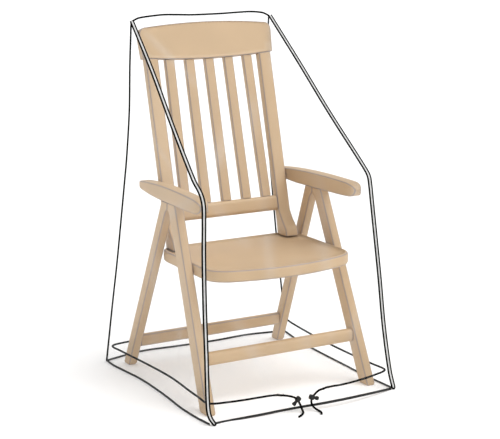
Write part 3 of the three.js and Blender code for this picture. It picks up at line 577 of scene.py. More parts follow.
def side_point(side, across, height):
    front = front_corner(side, height) - front_normal(side, height) * (TAPE_BAND + SEAM_GAP)
    front.z = max(front.z, 0)
    back = back_corner(side, height) - Vector((0, PIPING_RADIUS + PIPING_GAP, 0))
    point = front.lerp(back, across)
    table = LEFT_BULGE if side < 0 else RIGHT_BULGE
    point.x += side * bulge_at(table, SIDE_BANDS, across, height)
    return point


def back_point(across, height):
    inset = Vector((PIPING_RADIUS + PIPING_GAP, 0, 0))
    point = (back_corner(-1, height) + inset).lerp(back_corner(1, height) - inset, across)
    point.y += bulge_at(BACK_BULGE, BACK_BANDS, across, height)
    point.z += ridge_rise(across, height)
    return point


SURFACES = {
    "front": front_point, "back": back_point,
    "left": partial(side_point, -1), "right": partial(side_point, 1),
}
print("hem corner", [round(value) for value in front_corner(-1, 0)])

# %% [markdown]
# ## Creases and gathers
# Stored film keeps a few soft fold lines, pulls from its corners, and puckers where the drawcord
# draws it in. Each crease is listed: two ends (share of the width, height), how wide the
# trough or ridge is, and how deep. They fade out at the seams, which hold the film still.

# %% Tables of creases
# from (across, height), to (across, height), width, depth; positive stands out
FRONT_CREASES = [
    ((0.02, 1120), (0.24, 960), 15, 2.2), ((0.98, 1118), (0.78, 975), 14, 2.0),
    ((0.06, 700), (0.30, 820), 18, 2.6), ((0.95, 715), (0.72, 850), 17, 2.4),
    ((0.04, 640), (0.22, 520), 16, -2.4), ((0.96, 660), (0.80, 540), 17, -2.2),
    ((0.33, 640), (0.36, 240), 20, 1.8), ((0.69, 650), (0.66, 210), 22, 1.9),
    ((0.12, 330), (0.30, 95), 18, -2.0), ((0.88, 300), (0.72, 95), 18, -1.9),
    ((0.42, 800), (0.58, 905), 20, -1.6), ((0.50, 420), (0.52, 130), 24, 1.6),
]
SIDE_CREASES = [
    ((0.10, 655), (0.42, 560), 16, 2.2), ((0.16, 690), (0.55, 820), 17, 1.8),
    ((0.62, 980), (0.72, 700), 18, 1.7), ((0.25, 380), (0.32, 120), 20, -1.8),
    ((0.58, 500), (0.55, 150), 22, 1.9), ((0.82, 620), (0.78, 240), 20, 1.6),
]
BACK_CREASES = [
    ((0.03, 1110), (0.26, 900), 16, 2.2), ((0.97, 1105), (0.72, 880), 16, 2.0),
    ((0.33, 780), (0.30, 330), 22, 1.8), ((0.64, 720), (0.68, 260), 22, 1.7),
    ((0.50, 560), (0.49, 150), 24, -1.6),
]
# Puckers along the cord: waves per metre, size and phase
PUCKERS = ((23, 0.75, 0.4), (37, 0.5, 2.1), (11, 0.6, 4.0))
CORD_HEIGHT = 57
PUCKER_REACH = 42


def crease_height(creases, across, height, width):
    """Sum of the soft troughs and ridges at one place of a panel, in millimetres."""
    total = 0.0
    for (a0, h0), (a1, h1), spread, depth in creases:
        start, end = Vector((a0 * width, h0)), Vector((a1 * width, h1))
        along = end - start
        offset = Vector((across * width, height)) - start
        t = offset.dot(along) / along.length_squared
        if -0.15 < t < 1.15:
            away = abs(offset.x * along.y - offset.y * along.x) / along.length
            if away < 3 * spread:
                fade = math.sin(math.pi * clamp((t + 0.15) / 1.3, 0, 1)) ** 0.8
                total += depth * fade * math.exp(-((away / spread) ** 2))
    return total


def pucker_height(across, height, width):
    near = math.exp(-(((height - CORD_HEIGHT) / PUCKER_REACH) ** 2))
    if near < 0.01:
        return 0.0
    place = across * width / 1000
    return near * sum(size * math.sin(2 * math.pi * waves * place + phase) for waves, size, phase in PUCKERS)


# %% Building a film panel
FILM_THICKNESS = 1.2
HEM_THICKNESS = 2.4
HEM_TOP = 7.5
HEM_ROWS = (0, 1.2, 3, 5, 7, 7.8)
ROW_STEP = 9
EDGE_HOLD = 0.035
TOP_HOLD = 30
FULL_FOLD = 2.6


def panel_levels(top):
    count = round((top - HEM_ROWS[-1]) / ROW_STEP)
    return [*HEM_ROWS, *(HEM_ROWS[-1] + (top - HEM_ROWS[-1]) * i / count for i in range(1, count + 1))]


def film_panel(label, top, columns, creases, width, out):
    """Closed thin sheet: the panel's surface with its creases, given an outer and an inner face."""
    levels = panel_levels(top)
    rows, cols = len(levels), columns + 1
    grid = [[SURFACES[label](c / columns, height) for c in range(cols)] for height in levels]

    def normal_at(r, c):
        across = grid[r][min(c + 1, columns)] - grid[r][max(c - 1, 0)]
        up = grid[min(r + 1, rows - 1)][c] - grid[max(r - 1, 0)][c]
        normal = across.cross(up)
        if r < len(HEM_ROWS) + 2:
            normal.z = 0
        return normal.normalized() * math.copysign(1, normal.dot(Vector(out)))

    faces_of_film = ([], [])
    folds = []
    for r, height in enumerate(levels):
        thickness = HEM_THICKNESS if 0 < height < HEM_TOP else FILM_THICKNESS
        for c in range(cols):
            across = c / columns
            hold = eased(min(across, 1 - across), 0, EDGE_HOLD) * eased(top - height, 0, TOP_HOLD)
            crease = crease_height(creases, across, height, width)
            pucker = pucker_height(across, height, width)
            # how deep the film is folded here, 0 to 1; the film's finish paints a highlight along it
            folds.append(clamp(hold * (abs(crease) + 0.6 * max(pucker, 0)) / FULL_FOLD, 0, 1))
            normal = normal_at(r, c)
            for points, side in zip(faces_of_film, (0.5, -0.5)):
                place = grid[r][c] + normal * (hold * (crease + pucker) + side * thickness)
                place.z = max(place.z, 0)
                points.append(lifted(place))
    half = rows * cols
    faces = []
    for r in range(rows - 1):
        for a in range(r * cols, r * cols + columns):
            faces += [(a, a + 1, a + 1 + cols, a + cols),
                      (half + a, half + a + cols, half + a + 1 + cols, half + a + 1)]
    for c in range(columns):
        low, high = c, (rows - 1) * cols + c
        faces += [(low, half + low, half + low + 1, low + 1), (high, high + 1, half + high + 1, half + high)]
    for r in range(rows - 1):
        left, right = r * cols, r * cols + columns
        faces += [(left, left + cols, half + left + cols, half + left),
                  (right, half + right, half + right + cols, right + cols)]

    def flat_place(index):
        r, c = divmod(index % half, cols)
        return (c / columns * width * MM, levels[r] * MM)

    loops_uv = [[flat_place(index) for index in face] for face in faces]
    made = piece_from(f"film_{label}", faces_of_film[0] + faces_of_film[1], faces, FILM, loops_uv)
    give_values(turned_outwards(made), "fold", folds * 2)
    return stands_for(made, "film", f"{label}_panel")


# %% The four panels
FRONT_TOP = RIDGE_HEIGHT - (PIPING_RADIUS + 0.4) * math.sqrt(0.5)
BACK_TOP = RIDGE_HEIGHT - PIPING_RADIUS - RIDGE_GAP
PANELS = {
    "front": (FRONT_TOP, 84, FRONT_CREASES, 600, (0, -1, 0.3)),
    "back": (BACK_TOP, 64, BACK_CREASES, 560, (0, 1, 0)),
    "left": (SIDE_TOP, 64, SIDE_CREASES, 640, (-1, 0, 0)),
    "right": (SIDE_TOP, 64, SIDE_CREASES, 640, (1, 0, 0)),
}
panels = {label: film_panel(label, *values) for label, values in PANELS.items()}

# %% [markdown]
# ## Holes for the cord
# The cord leaves the front panel by two small round holes. A boolean cut gives each hole.

# %% Cord holes
CORD_HOLE = 5.8 * MM
HOLE_SIDES = 24
HOLE_FROM, HOLE_TO = 1, 4


def plain_mesh(made, name):
    """Puts what the modifiers make of an object in place of its mesh."""
    graph = bpy.context.evaluated_depsgraph_get()
    result = bpy.data.meshes.new_from_object(made.evaluated_get(graph), depsgraph=graph)
    made.modifiers.clear()
    old, made.data = made.data, result
    bpy.data.meshes.remove(old)
    result.name = name
    return made


def rod_between(start, end):
    build = bmesh.new()
    along = end - start
    turn = Z_AXIS.rotation_difference(along).to_matrix().to_4x4()
    bmesh.ops.create_cone(build, cap_ends=True, segments=HOLE_SIDES, radius1=CORD_HOLE, radius2=CORD_HOLE,
                          depth=along.length, matrix=Matrix.Translation((start + end) / 2) @ turn)
    mesh = bpy.data.meshes.new("rod")
    build.to_mesh(mesh)
    build.free()
    return in_scene("rod", mesh)


for route in CORD_ROUTES.values():
    rod = rod_between(lifted(route[HOLE_FROM]), lifted(route[HOLE_TO]))
    cut = panels["front"].modifiers.new("cut", "BOOLEAN")
    cut.operation, cut.solver, cut.object = "DIFFERENCE", "EXACT", rod
    plain_mesh(panels["front"], "film_front")
    bpy.data.objects.remove(rod)
print("front panel after its holes:", len(panels["front"].data.vertices), "points")

# %% [markdown]
# ## Seam tapes
# A tape is a flat white band with a round black cord in its edge, which turns round the loose lower
# tip. The band and the cord are swept down the seam by the same function, so they stay together, and
# the tip turns aside as in the picture.

# %% Seam tapes
TAPE_TOP = 1145
TAPE_STEP = 8
BAND_FOOT = 3.2
TIP_HEIGHT = 45
TIPS = {-1: (11, 11), 1: (3, 0.5)}  # how far each tip turns forward and inward
BAND_PROFILE = ((-1, 1), (-0.5, 0.8), (0, 0.72), (0.5, 0.8), (1, 1))
# across and height of the edge cord where it turns round the tip
TIP_TURN = ((-4.6, 5.4), (-2.6, 3.4), (0, 2.8), (2.6, 3.4), (4.6, 5.4))
TIP_FROM = 8


def tape_at(side, height, across=0.0):
    forward, inward = TIPS[side]
    turn = 1 - eased(height, 0, TIP_HEIGHT)
    aside = Vector((across - side * inward * turn ** 3, -forward * turn, 0))
    return lifted(front_corner(side, height) + aside)


def tape_normal(side, height):
    return -Y_AXIS if height <= TAPE_RIB else front_normal(side, height)


def tape_levels():
    count = round((TAPE_TOP - BAND_FOOT) / TAPE_STEP)
    return [BAND_FOOT + (TAPE_TOP - BAND_FOOT) * i / count for i in range(count + 1)]


def tape_band(side, label):
    lower = [(x * TAPE_RIB_AT * MM, -y * TAPE_BAND * MM) for x, y in BAND_PROFILE]
    section = lower + [(-x, -y) for x, y in lower]
    count = len(section)
    points, places = [], []
    for height in tape_levels():
        centre, out = tape_at(side, height), tape_normal(side, height)
        places.append(places[-1] + (centre - before).length if places else 0.0)
        before = centre
        points += [centre + X_AXIS * x + out * y for x, y in section]
    faces = bridges(len(places), count)
    loops_uv = [((u, low), (v, low), (v, high), (u, high)) for low, high in zip(places, places[1:])
                for (u, _), (v, _) in zip(section, section[1:] + section[:1])]
    for r in (0, len(places) - 1):
        faces.append(tuple(range(r * count, (r + 1) * count)))
        loops_uv.append([(x, places[r]) for x, _ in section])
    return turned_outwards(piece_from(f"tape_band_{label}", points, faces, TAPE, loops_uv))


def tape_edge(side, label):
    """The black cord down one edge of a tape, round its tip and up the other edge."""
    heights = [height for height in tape_levels() if height >= TIP_FROM]
    path = [tape_at(side, height, -TAPE_RIB_AT) for height in heights[::-1]]
    path += [tape_at(side, height, across) for across, height in TIP_TURN]
    path += [tape_at(side, height, TAPE_RIB_AT) for height in heights]
    return tube(f"tape_edge_{label}", smooth_path(path, 6 * MM), TAPE_RIB * MM, 16, PIPING)


for side, label in SIDES:
    stands_for(tape_band(side, label), "tape", f"seam_tape_{label}")
    stands_for(tape_edge(side, label), "piping", f"seam_tape_{label}")
print("tapes:", len(tape_levels()), "rows each")

# %% [markdown]
# ## Piping and the cord inside the hem
# The ridge and the back corners are piped: a round cord bound in black cloth. The drawcord runs
# inside the film at one height, square to the panels, from one free end round to the other.

# %% Piping
RIDGE_PIPING_FOOT = 1136.5
BACK_PIPING_FOOT = 0.5
BACK_PIPING_TOP = 1135.9
RIDGE_PLACES = (0, 0.02, 0.045, 0.08, 0.15, 0.23, 0.32, 0.42, 0.53, 0.65, 0.76, 0.86, 0.92, 0.955, 0.98, 1)


def ridge_point(across):
    point = back_corner(-1, RIDGE_HEIGHT).lerp(back_corner(1, RIDGE_HEIGHT), across)
    point.z += ridge_rise(across, RIDGE_HEIGHT)
    point.y = back_corner(1, min(point.z, RIDGE_HEIGHT)).y
    return point


def piping(name, points, step, node_name):
    path = smooth_path([lifted(point) for point in points], step * MM)
    return stands_for(tube(name, path, PIPING_RADIUS * MM, 16, PIPING), "piping", node_name)


for side, label in SIDES:
    heights = [BACK_PIPING_FOOT, *(row[0] for row in CORNERS[1:-1]), BACK_PIPING_TOP]
    back_seam = [back_corner(side, height) for height in heights]
    piping(f"piping_back_{label}", back_seam, 8, f"back_piping_{label}")
left_foot, right_foot = (back_corner(side, RIDGE_PIPING_FOOT) for side, _ in SIDES)
ridge = piping("piping_ridge", [left_foot, *map(ridge_point, RIDGE_PLACES), right_foot], 3, "ridge_piping")
print("ridge piping:", len(ridge.data.polygons), "faces")

# %% Drawcord in the hem
SOLID_FILM = 1.5
CORD_CLEAR = 3.2
CORD_GAP, CORD_LEAD = 0.6, 14
CORD_FROM, CORD_TO = 0.275, 0.665
CORNER_ROUND = 15
CORD_INSIDE = SOLID_FILM / 2 + CORD_CLEAR + CORD_RADIUS / MM


def before_start(label, distance):
    first, second = map(Vector, CORD_ROUTES[label][:2])
    return first + (first - second).normalized() * distance


def inside_film(label, across, step):
    """The cord's centre behind one place of a panel, seen along the way that the cord runs."""
    surface = SURFACES[label]
    point = surface(across, CORD_HEIGHT)
    along = surface(across + step, CORD_HEIGHT) - point
    up = surface(across, CORD_HEIGHT + 5) - surface(across, CORD_HEIGHT - 5)
    inwards = along.cross(up).normalized()
    placed = point + inwards * CORD_INSIDE * math.copysign(1, -point.dot(inwards))
    placed.z = CORD_HEIGHT
    return placed


edge = CORNER_ROUND / (2 * back_corner(1, CORD_HEIGHT).x)
# panel, from and to as shares of its width, and the number of steps
RUNS = (("front", CORD_FROM, edge, 6), ("left", edge, 1 - edge, 10), ("back", edge, 1 - edge, 9),
        ("right", 1 - edge, edge, 10), ("front", 1 - edge, CORD_TO, 6))
cord_points = [before_start("left", CORD_GAP), before_start("left", CORD_LEAD)]
for label, start, end, count in RUNS:
    step = math.copysign(0.01, end - start)
    cord_points += [inside_film(label, start + (end - start) * i / count, step) for i in range(count + 1)]
cord_points += [before_start("right", CORD_LEAD), before_start("right", CORD_GAP)]
held_path = smooth_path([lifted(point) for point in cord_points], 2.4 * MM)
held_cord = tube("hem_drawcord", held_path, CORD_RADIUS - BRAID_RELIEF, 16, CORD, braid)
stands_for(held_cord, "cord", "drawcord")
print(f"cord in the hem: {path_length(held_path):.2f} m")

# %% [markdown]
# ## The chair: bars with rounded edges
# A resin chair is moulded, so every edge is rounded and wears a little greyer than the faces. The
# straight parts could be cubes with a Bevel modifier. Here each is a loft through a rounded section
# instead, because the same points also carry a value, "worn", that the finish reads on the edges.

# %% Rounded section
CORNER_STEPS = 6
WORN_WIDTH = 3.0
WIDE_ROUND = 12


def worn_at(dx, dy):
    """How close a point of a rounded corner is to the middle of its curve, from 0 to 1."""
    return clamp(1 - abs(dx - dy) / (math.sqrt(2) * WORN_WIDTH), 0, 1)


def rounded_section(width, depth, radius):
    """Points (x, y, worn) of a rounded rectangle; a wide rounding wears nowhere."""
    section = []
    for quarter, (sx, sy) in enumerate(((1, -1), (1, 1), (-1, 1), (-1, -1))):
        for i in range(CORNER_STEPS + 1):
            angle = (quarter - 1 + i / CORNER_STEPS) * math.pi / 2
            dx, dy = math.cos(angle) * radius, math.sin(angle) * radius
            worn = worn_at(abs(dx), abs(dy)) if radius < WIDE_ROUND else 0.0
            section.append((sx * (width / 2 - radius) + dx, sy * (depth / 2 - radius) + dy, worn))
    return section


def section_at(section, centre, right, up):
    return [(centre + right * x + up * y, worn) for x, y, worn in section]


print("points in a section:", len(rounded_section(33, 19, 4)))

# %% Loft with worn edges
JUNCTION = 2.4
JUNCTION_WEAR = 0.8


def chair_body(name, rows, node_name):
    """Closed body through loops of (point, worn)."""
    count = len(rows[0])
    last = (len(rows) - 1) * count
    faces = [tuple(range(count)), tuple(range(last, last + count)), *bridges(len(rows), count)]
    points = [lifted(point) for row in rows for point, _ in row]
    made = turned_outwards(piece_from(name, points, faces, CHAIR))
    give_values(made, "worn", [worn for row in rows for _, worn in row])
    return stands_for(made, "chair", node_name)


def between(low, high, share):
    return [(p.lerp(q, share), max(u, v)) for (p, u), (q, v) in zip(low, high)]


def chair_loft(name, loops, node_name):
    """A bar, with a worn line close to each of its two ends, where it meets its neighbour."""
    first, last = (min(JUNCTION / (near[0][0] - far[0][0]).length, 0.5)
                   for near, far in (loops[:2], loops[-2:]))
    ends = [[(point, max(worn, JUNCTION_WEAR)) for point, worn in loop] for loop in (loops[0], loops[-1])]
    rows = [ends[0], between(*loops[:2], first), *loops[1:-1], between(*loops[-2:], 1 - last), ends[1]]
    return chair_body(name, rows, node_name)


# %% [markdown]
# ## The chair's legs and cross bars
# Two legs meet under each arm like a folding trestle, and a bar joins each pair near the floor. The
# legs lean outwards, so each section is set where its own height asks.

# %% Legs and cross bars
LEG = {"thick": 31, "top_half": 261, "foot_half": 285, "height": 600, "radius": 7}
FRONT_LEG = {"foot": -280, "top": -31, "depth": 54}
BACK_LEG = {"foot": 303, "top": 18.4, "depth": 44}
# height, how much the section is drawn in, and the web that reaches towards the other leg
LEG_ROWS = ((0, 4, 0), (2, 1.5, 0), (6, 0, 0), (562, 0, 0), (571, 0, 2.4), (577, 0, 6), (580, 0, 8.8),
            (600, 0, 0))
BAR_INSET = 0.04
CHAIR_GAP = 0.4


def mixed(low, high, share):
    return low + (high - low) * share


def leg(side, label, place, which):
    towards = math.copysign(1, place["top"] - place["foot"])
    loops = []
    for height, inset, web in LEG_ROWS:
        share = height / LEG["height"]
        centre = Vector((side * mixed(LEG["foot_half"], LEG["top_half"], share),
                         mixed(place["foot"], place["top"], share) + towards * web / 2, height))
        section = rounded_section(LEG["thick"] - 2 * inset, place["depth"] + web - 2 * inset,
                                  LEG["radius"] - inset / 2)
        loops.append(section_at(section, centre, X_AXIS, Y_AXIS))
    return chair_loft(f"leg_{which}_{label}", loops, f"chair_{which}_leg_{label}")


def cross_bar(which, place, height, high, thick):
    share = height / LEG["height"]
    half = mixed(LEG["foot_half"], LEG["top_half"], share + BAR_INSET) - LEG["thick"] / 2 - CHAIR_GAP
    depth = mixed(place["foot"], place["top"], share)
    section = rounded_section(thick, high, thick / 2 - 1)
    loops = [section_at(section, Vector((x, depth, height)), Y_AXIS, Z_AXIS) for x in (-half, half)]
    return chair_loft(f"bar_{which}", loops, f"chair_{which}_bar")


chair = [leg(side, label, place, which) for side, label in SIDES
         for place, which in ((FRONT_LEG, "front"), (BACK_LEG, "back"))]
chair += [cross_bar("front", FRONT_LEG, 150, 42, 28), cross_bar("back", BACK_LEG, 88, 42, 24)]
print("legs and bars:", len(chair))

# %% [markdown]
# ## The chair's back
# The back is a flat frame that leans by the rake angle. Its places are given up the back and out of
# its plane, and one function turns them into the frame's own axes.

# %% Stiles and lower rail
RAKE = math.radians(13.9)
BACK_FOOT = 100
SEAT_TOP = 430
STILE = {"top_half": 207, "foot_half": 205.5, "width": 47, "thick": 30, "radius": 9}
# along the back, out of its plane, depth and share of the width: the stile's foot curls forward
STILE_FOOT = ((0.4, 17, 64, 1.04), (9, 16, 64, 1.04), (26, 12, 54, 1.02), (48, 6, 41, 1), (78, 0, 30, 1))
LOWER_RAIL = {"middle": 106, "high": 50, "thick": 30, "radius": 13}
RAIL_LOW_MIDDLE, RAIL_LOW_ENDS = 602, 613
RAIL_HALF = 241
RAIL_INSET = 4
RAIL_BOW = (RAIL_LOW_ENDS - RAIL_LOW_MIDDLE) / (RAIL_HALF - RAIL_INSET) ** 2
BACK_UP = Vector((0, math.sin(RAKE), math.cos(RAKE)))
BACK_OUT = Vector((0, -math.cos(RAKE), math.sin(RAKE)))


def on_back(x, along, out=0.0):
    return Vector((x, BACK_FOOT, SEAT_TOP)) + BACK_UP * along + BACK_OUT * out


def under_rail(section, x):
    """A section cut off along the top rail's bowed lower edge."""
    return [(on_back(x + u, RAIL_LOW_MIDDLE + RAIL_BOW * (x + u) ** 2 - CHAIR_GAP, -v), worn)
            for u, v, worn in section]


def stile_half(along):
    return mixed(STILE["foot_half"], STILE["top_half"], along / RAIL_LOW_MIDDLE)


def stile(side, label):
    loops = []
    for along, out, depth, wide in STILE_FOOT:
        section = rounded_section(STILE["width"] * wide, depth, STILE["radius"])
        centre, deep = on_back(side * stile_half(along), along, out), -BACK_OUT
        if not loops:
            centre.z, deep = SEAT_TOP + CHAIR_GAP, Y_AXIS
        loops.append(section_at(section, centre, X_AXIS, deep))
    section = rounded_section(STILE["width"], STILE["thick"], STILE["radius"])
    loops.append(under_rail(section, side * STILE["top_half"]))
    return chair_loft(f"stile_{label}", loops, f"chair_stile_{label}")


def lower_rail(middle, high, thick, radius):
    half = stile_half(middle + high / 2) - STILE["width"] / 2 - 2 * CHAIR_GAP
    section = rounded_section(thick, high, radius)
    loops = [section_at(section, on_back(x, middle), -BACK_OUT, BACK_UP) for x in (-half, half)]
    return chair_loft("lower_rail", loops, "chair_lower_rail")


chair += [*(stile(side, label) for side, label in SIDES), lower_rail(**LOWER_RAIL)]
print("back frame:", [piece.name for piece in chair[-3:]])

# %% [markdown]
# ## The chair's slats, by a node tree
# Five equal slats fan out a little between the two rails. What repeats by a rule suits Geometry
# Nodes: a row of points, one upright line on each, bent into place, then a rounded profile swept
# along all of them at once. Changing Count in the tree would change the chair.

# %% Node tree helpers


def joined(tree, *values):
    return node(tree, "ShaderNodeCombineXYZ", dict(enumerate(values))).outputs[0]


def position(tree):
    return apart(tree, node(tree, "GeometryNodeInputPosition").outputs[0])


def geometry_tree(name, inputs):
    shape = ("Geometry", "Geometry")
    return new_tree(name, "GeometryNodeTree", [shape, *inputs, ("Material", "Material")], [shape])


def finish_tree(tree, start, end, geometry):
    """Smooth faces, real geometry and the material, in this order, at the end of a tree."""
    for step in ("SetShadeSmooth", "RealizeInstances", "SetMaterial"):
        made = node(tree, f"GeometryNode{step}", {"Geometry": geometry})
        geometry = made.outputs[0]
    feed(tree, made.inputs["Material"], start["Material"])
    feed(tree, end["Geometry"], geometry)
    return tree


def grown(name, tree, values, points=(), edges=()):
    """Plain mesh that a tree makes from a bare line of points."""
    mesh = bpy.data.meshes.new(name)
    mesh.from_pydata([tuple(point) for point in points], edges, [])
    made = in_scene(name, mesh)
    modifier = made.modifiers.new("grow", "NODES")
    modifier.node_group = tree
    sockets = {item.name: item.identifier for item in tree.interface.items_tree if item.in_out == "INPUT"}
    for label, value in values.items():
        modifier[sockets[label]] = value
    return plain_mesh(made, name)


# %% Tree of the slats
SLAT_STEPS = 24


def slat_profile(tree, start):
    """Rounded rectangle, with the middle of each rounding marked as worn."""
    box = node(tree, "GeometryNodeCurvePrimitiveQuadrilateral", {
        "Width": start["Width"], "Height": start["Thick"]})
    fillet = node(tree, "GeometryNodeFilletCurve", {
        "Curve": box.outputs[0], "Count": CORNER_STEPS - 1, "Radius": start["Rounding"]}, mode="POLY")
    place = position(tree)
    over = []
    for axis, size in (("X", "Width"), ("Y", "Thick")):
        flat = maths(tree, "MULTIPLY", start[size], 0.5)
        over.append(maths(tree, "SUBTRACT", maths(tree, "ABSOLUTE", place[axis]), flat))
    skew = maths(tree, "ABSOLUTE", maths(tree, "SUBTRACT", *over))
    worn = maths(tree, "SUBTRACT", 1.0, maths(tree, "DIVIDE", skew, math.sqrt(2) * WORN_WIDTH * MM))
    worn.node.use_clamp = True
    return node(tree, "GeometryNodeStoreNamedAttribute", {
        "Geometry": fillet.outputs[0], "Name": "worn", "Value": worn}, data_type="FLOAT").outputs[0]


def slat_tree():
    tree, start, end = geometry_tree("slats of the back", [
        ("Count", "Int", 5), ("Width", "Float", 0.033), ("Thick", "Float", 0.019),
        ("Rounding", "Float", 0.004), ("Foot half", "Float", 0.148), ("Top half", "Float", 0.142),
        ("Low", "Float", 0.131), ("High", "Float", 0.601), ("Rail bow", "Float", 0.2),
        ("Rake", "Float", 0.24), ("Foot", "Vector"),
    ])
    step = maths(tree, "DIVIDE", 2.0, maths(tree, "SUBTRACT", start["Count"], 1.0))
    row = node(tree, "GeometryNodeMeshLine", {
        "Count": start["Count"], "Start Location": (-1, 0, 0), "Offset": joined(tree, step)}, mode="OFFSET")
    upright = node(tree, "GeometryNodeMeshLine", {
        "Count": SLAT_STEPS + 1, "Offset": (0, 0, 1 / SLAT_STEPS)}, mode="OFFSET")
    placed = node(tree, "GeometryNodeInstanceOnPoints", {
        "Points": row.outputs[0], "Instance": upright.outputs[0]})
    lines = node(tree, "GeometryNodeRealizeInstances", {"Geometry": placed.outputs[0]})
    place = position(tree)
    share, rise = place["X"], place["Z"]
    fan = maths(tree, "SUBTRACT", start["Top half"], start["Foot half"])
    x = maths(tree, "MULTIPLY", share, maths(tree, "MULTIPLY_ADD", fan, rise, start["Foot half"]))
    bow = maths(tree, "MULTIPLY", maths(tree, "MULTIPLY", x, x), start["Rail bow"])
    span = maths(tree, "SUBTRACT", maths(tree, "ADD", start["High"], bow), start["Low"])
    along = maths(tree, "MULTIPLY_ADD", span, rise, start["Low"])
    y, z = (maths(tree, "MULTIPLY", along, maths(tree, turn, start["Rake"])) for turn in ("SINE", "COSINE"))
    at = node(tree, "ShaderNodeVectorMath", {0: joined(tree, x, y, z), 1: start["Foot"]}, operation="ADD")
    bent = node(tree, "GeometryNodeSetPosition", {"Geometry": lines.outputs[0], "Position": at.outputs[0]})
    paths = node(tree, "GeometryNodeMeshToCurve", {"Mesh": bent.outputs[0]})
    square = node(tree, "GeometryNodeSetCurveNormal", {
        "Curve": paths.outputs[0], "Normal": (1, 0, 0)}, mode="FREE")
    swept = node(tree, "GeometryNodeCurveToMesh", {
        "Curve": square.outputs[0], "Profile Curve": slat_profile(tree, start), "Fill Caps": True})
    return finish_tree(tree, start, end, swept.outputs[0])


# %% The five slats
TOP_CLEAR = 1.2


def box_in_mm(piece):
    axes = list(zip(*(vertex.co for vertex in piece.data.vertices)))
    return [round(pick(values) / MM, 1) for pick in (min, max) for values in axes]


slats = grown("slats", slat_tree(), {
    "Count": 5, "Width": 33 * MM, "Thick": 19 * MM, "Rounding": 4 * MM, "Foot half": 148 * MM,
    "Top half": 142 * MM, "Low": (LOWER_RAIL["middle"] + LOWER_RAIL["high"] / 2 + CHAIR_GAP) * MM,
    "High": (RAIL_LOW_MIDDLE - TOP_CLEAR) * MM, "Rail bow": RAIL_BOW / MM, "Rake": RAKE,
    "Foot": tuple(lifted((0, BACK_FOOT, SEAT_TOP))), "Material": CHAIR,
})
chair.append(stands_for(slats, "chair", *(f"chair_slat_{index}" for index in range(1, 6))))
print("slats:", len(slats.data.polygons), "faces, box", box_in_mm(slats))

# %% [markdown]
# ## The chair's plates
# The seat, the arms and the top rail are plates cut to a curved outline, with a rounded rim. Rings of
# points run round the rim from one face to the other, and each face is filled by rings that close in
# on its middle, which lets the seat dip and the arms swell a little. The upper face starts lower down
# its rim than the lower one, so it lies inside a low lip, half the rounding deep.

# %% Plate with a rounded rim
RIM_STEPS = 6
CURVE_STEPS = 14
LINE_STEP = 40
FACE_RINGS = (0.97, 0.85, 0.6, 0.3)
LOWER_FACE_FROM, UPPER_FACE_FROM = RIM_STEPS, 2


def outline_points(stops):
    """Points of an outline of straight lines and of curves that lean to a given point."""
    points = [Vector(stops[0][:2])]
    for stop in stops[1:]:
        begin, end = points[-1], Vector(stop[:2])
        lean = Vector(stop[2:]) if len(stop) > 2 else begin.lerp(end, 0.5)
        steps = CURVE_STEPS if len(stop) > 2 else max(1, round((end - begin).length / LINE_STEP))
        for i in range(1, steps + 1):
            t = i / steps
            points.append(begin.lerp(lean, t).lerp(lean.lerp(end, t), t))
    if (points[0] - points[-1]).length < 0.01:
        points.pop()
    turning = sum(a.x * b.y - a.y * b.x for a, b in zip(points, points[1:] + points[:1]))
    return points if turning > 0 else points[::-1]


def drawn_in(points, distance):
    """The outline moved inwards, each point along its own normal."""
    moved = []
    for before, point, after in zip(points[-1:] + points[:-1], points, points[1:] + points[:1]):
        first, second = (point - before).normalized(), (after - point).normalized()
        middle = Vector((-first.y - second.y, first.x + second.x)).normalized()
        cosine = max(middle.dot(Vector((-second.y, second.x))), 0.5)
        moved.append(point + middle * distance / cosine)
    return moved


def plate(name, stops, thick, soft, to_place, swells):
    """Plate on an outline; swells lift the middles of its lower and upper face."""
    outline = outline_points(stops)
    middle = sum(outline, Vector((0, 0))) / len(outline)
    halves = []
    for face, swell, start in zip((-1, 1), swells, (LOWER_FACE_FROM, UPPER_FACE_FROM)):
        run = []
        for i in range(RIM_STEPS + 1):
            angle = i / RIM_STEPS * math.pi / 2
            out, up = math.cos(angle) * soft, math.sin(angle) * soft
            run.append((drawn_in(outline, soft - out), face * (thick / 2 - soft + up), worn_at(out, up)))
        edge, height, _ = run[start]
        for share in FACE_RINGS:
            lift = face * swell * (1 - share * share)
            run.append(([middle.lerp(point, share) for point in edge], height + lift, 0.0))
        halves.append(run)
    rings = halves[0][::-1] + [(outline, 0.0, 0.0)] + halves[1]
    rows = [[(to_place(Vector((point.x, point.y, height))), worn) for point in ring]
            for ring, height, worn in rings]
    return chair_body(name, rows, f"chair_{name}")


# %% Seat, arms and top rail
# x, y of each stop, and the point that the curve to it leans to
SEAT_OUTLINE = (
    (-252, 60), (-252, -196), (-196, -271, -251, -247), (196, -271, 0, -335), (252, -196, 251, -247),
    (252, 60), (190, 130, 252, 128), (-190, 130), (-252, 60, -252, 128),
)
SEAT = {"thick": 38, "soft": 9, "dip": 2.5}
ARM_OUTLINE = (
    (-110, 0), (70, 0), (222, 12, 170, 3), (234, 24, 234, 16), (218, 36, 234, 33), (-210, 46, 40, 56),
    (-250, 24, -250, 42), (-220, 2, -250, 3), (-110, 0, -180, 0),
)
ARM = {"low": 600.6, "width": 42, "soft": 6, "swell": 0.6, "middle": 258.9, "splay": 2.2}
ARM_FRONT, ARM_BACK = -250, 234
ARM_END = 30
TOP_RAIL = {"thick": 28, "soft": 3, "swell": 0.4, "corner": 28, "middle": 724, "ends": 713.5}


def on_seat(point):
    return point + Vector((0, 0, SEAT_TOP - SEAT["thick"] / 2))


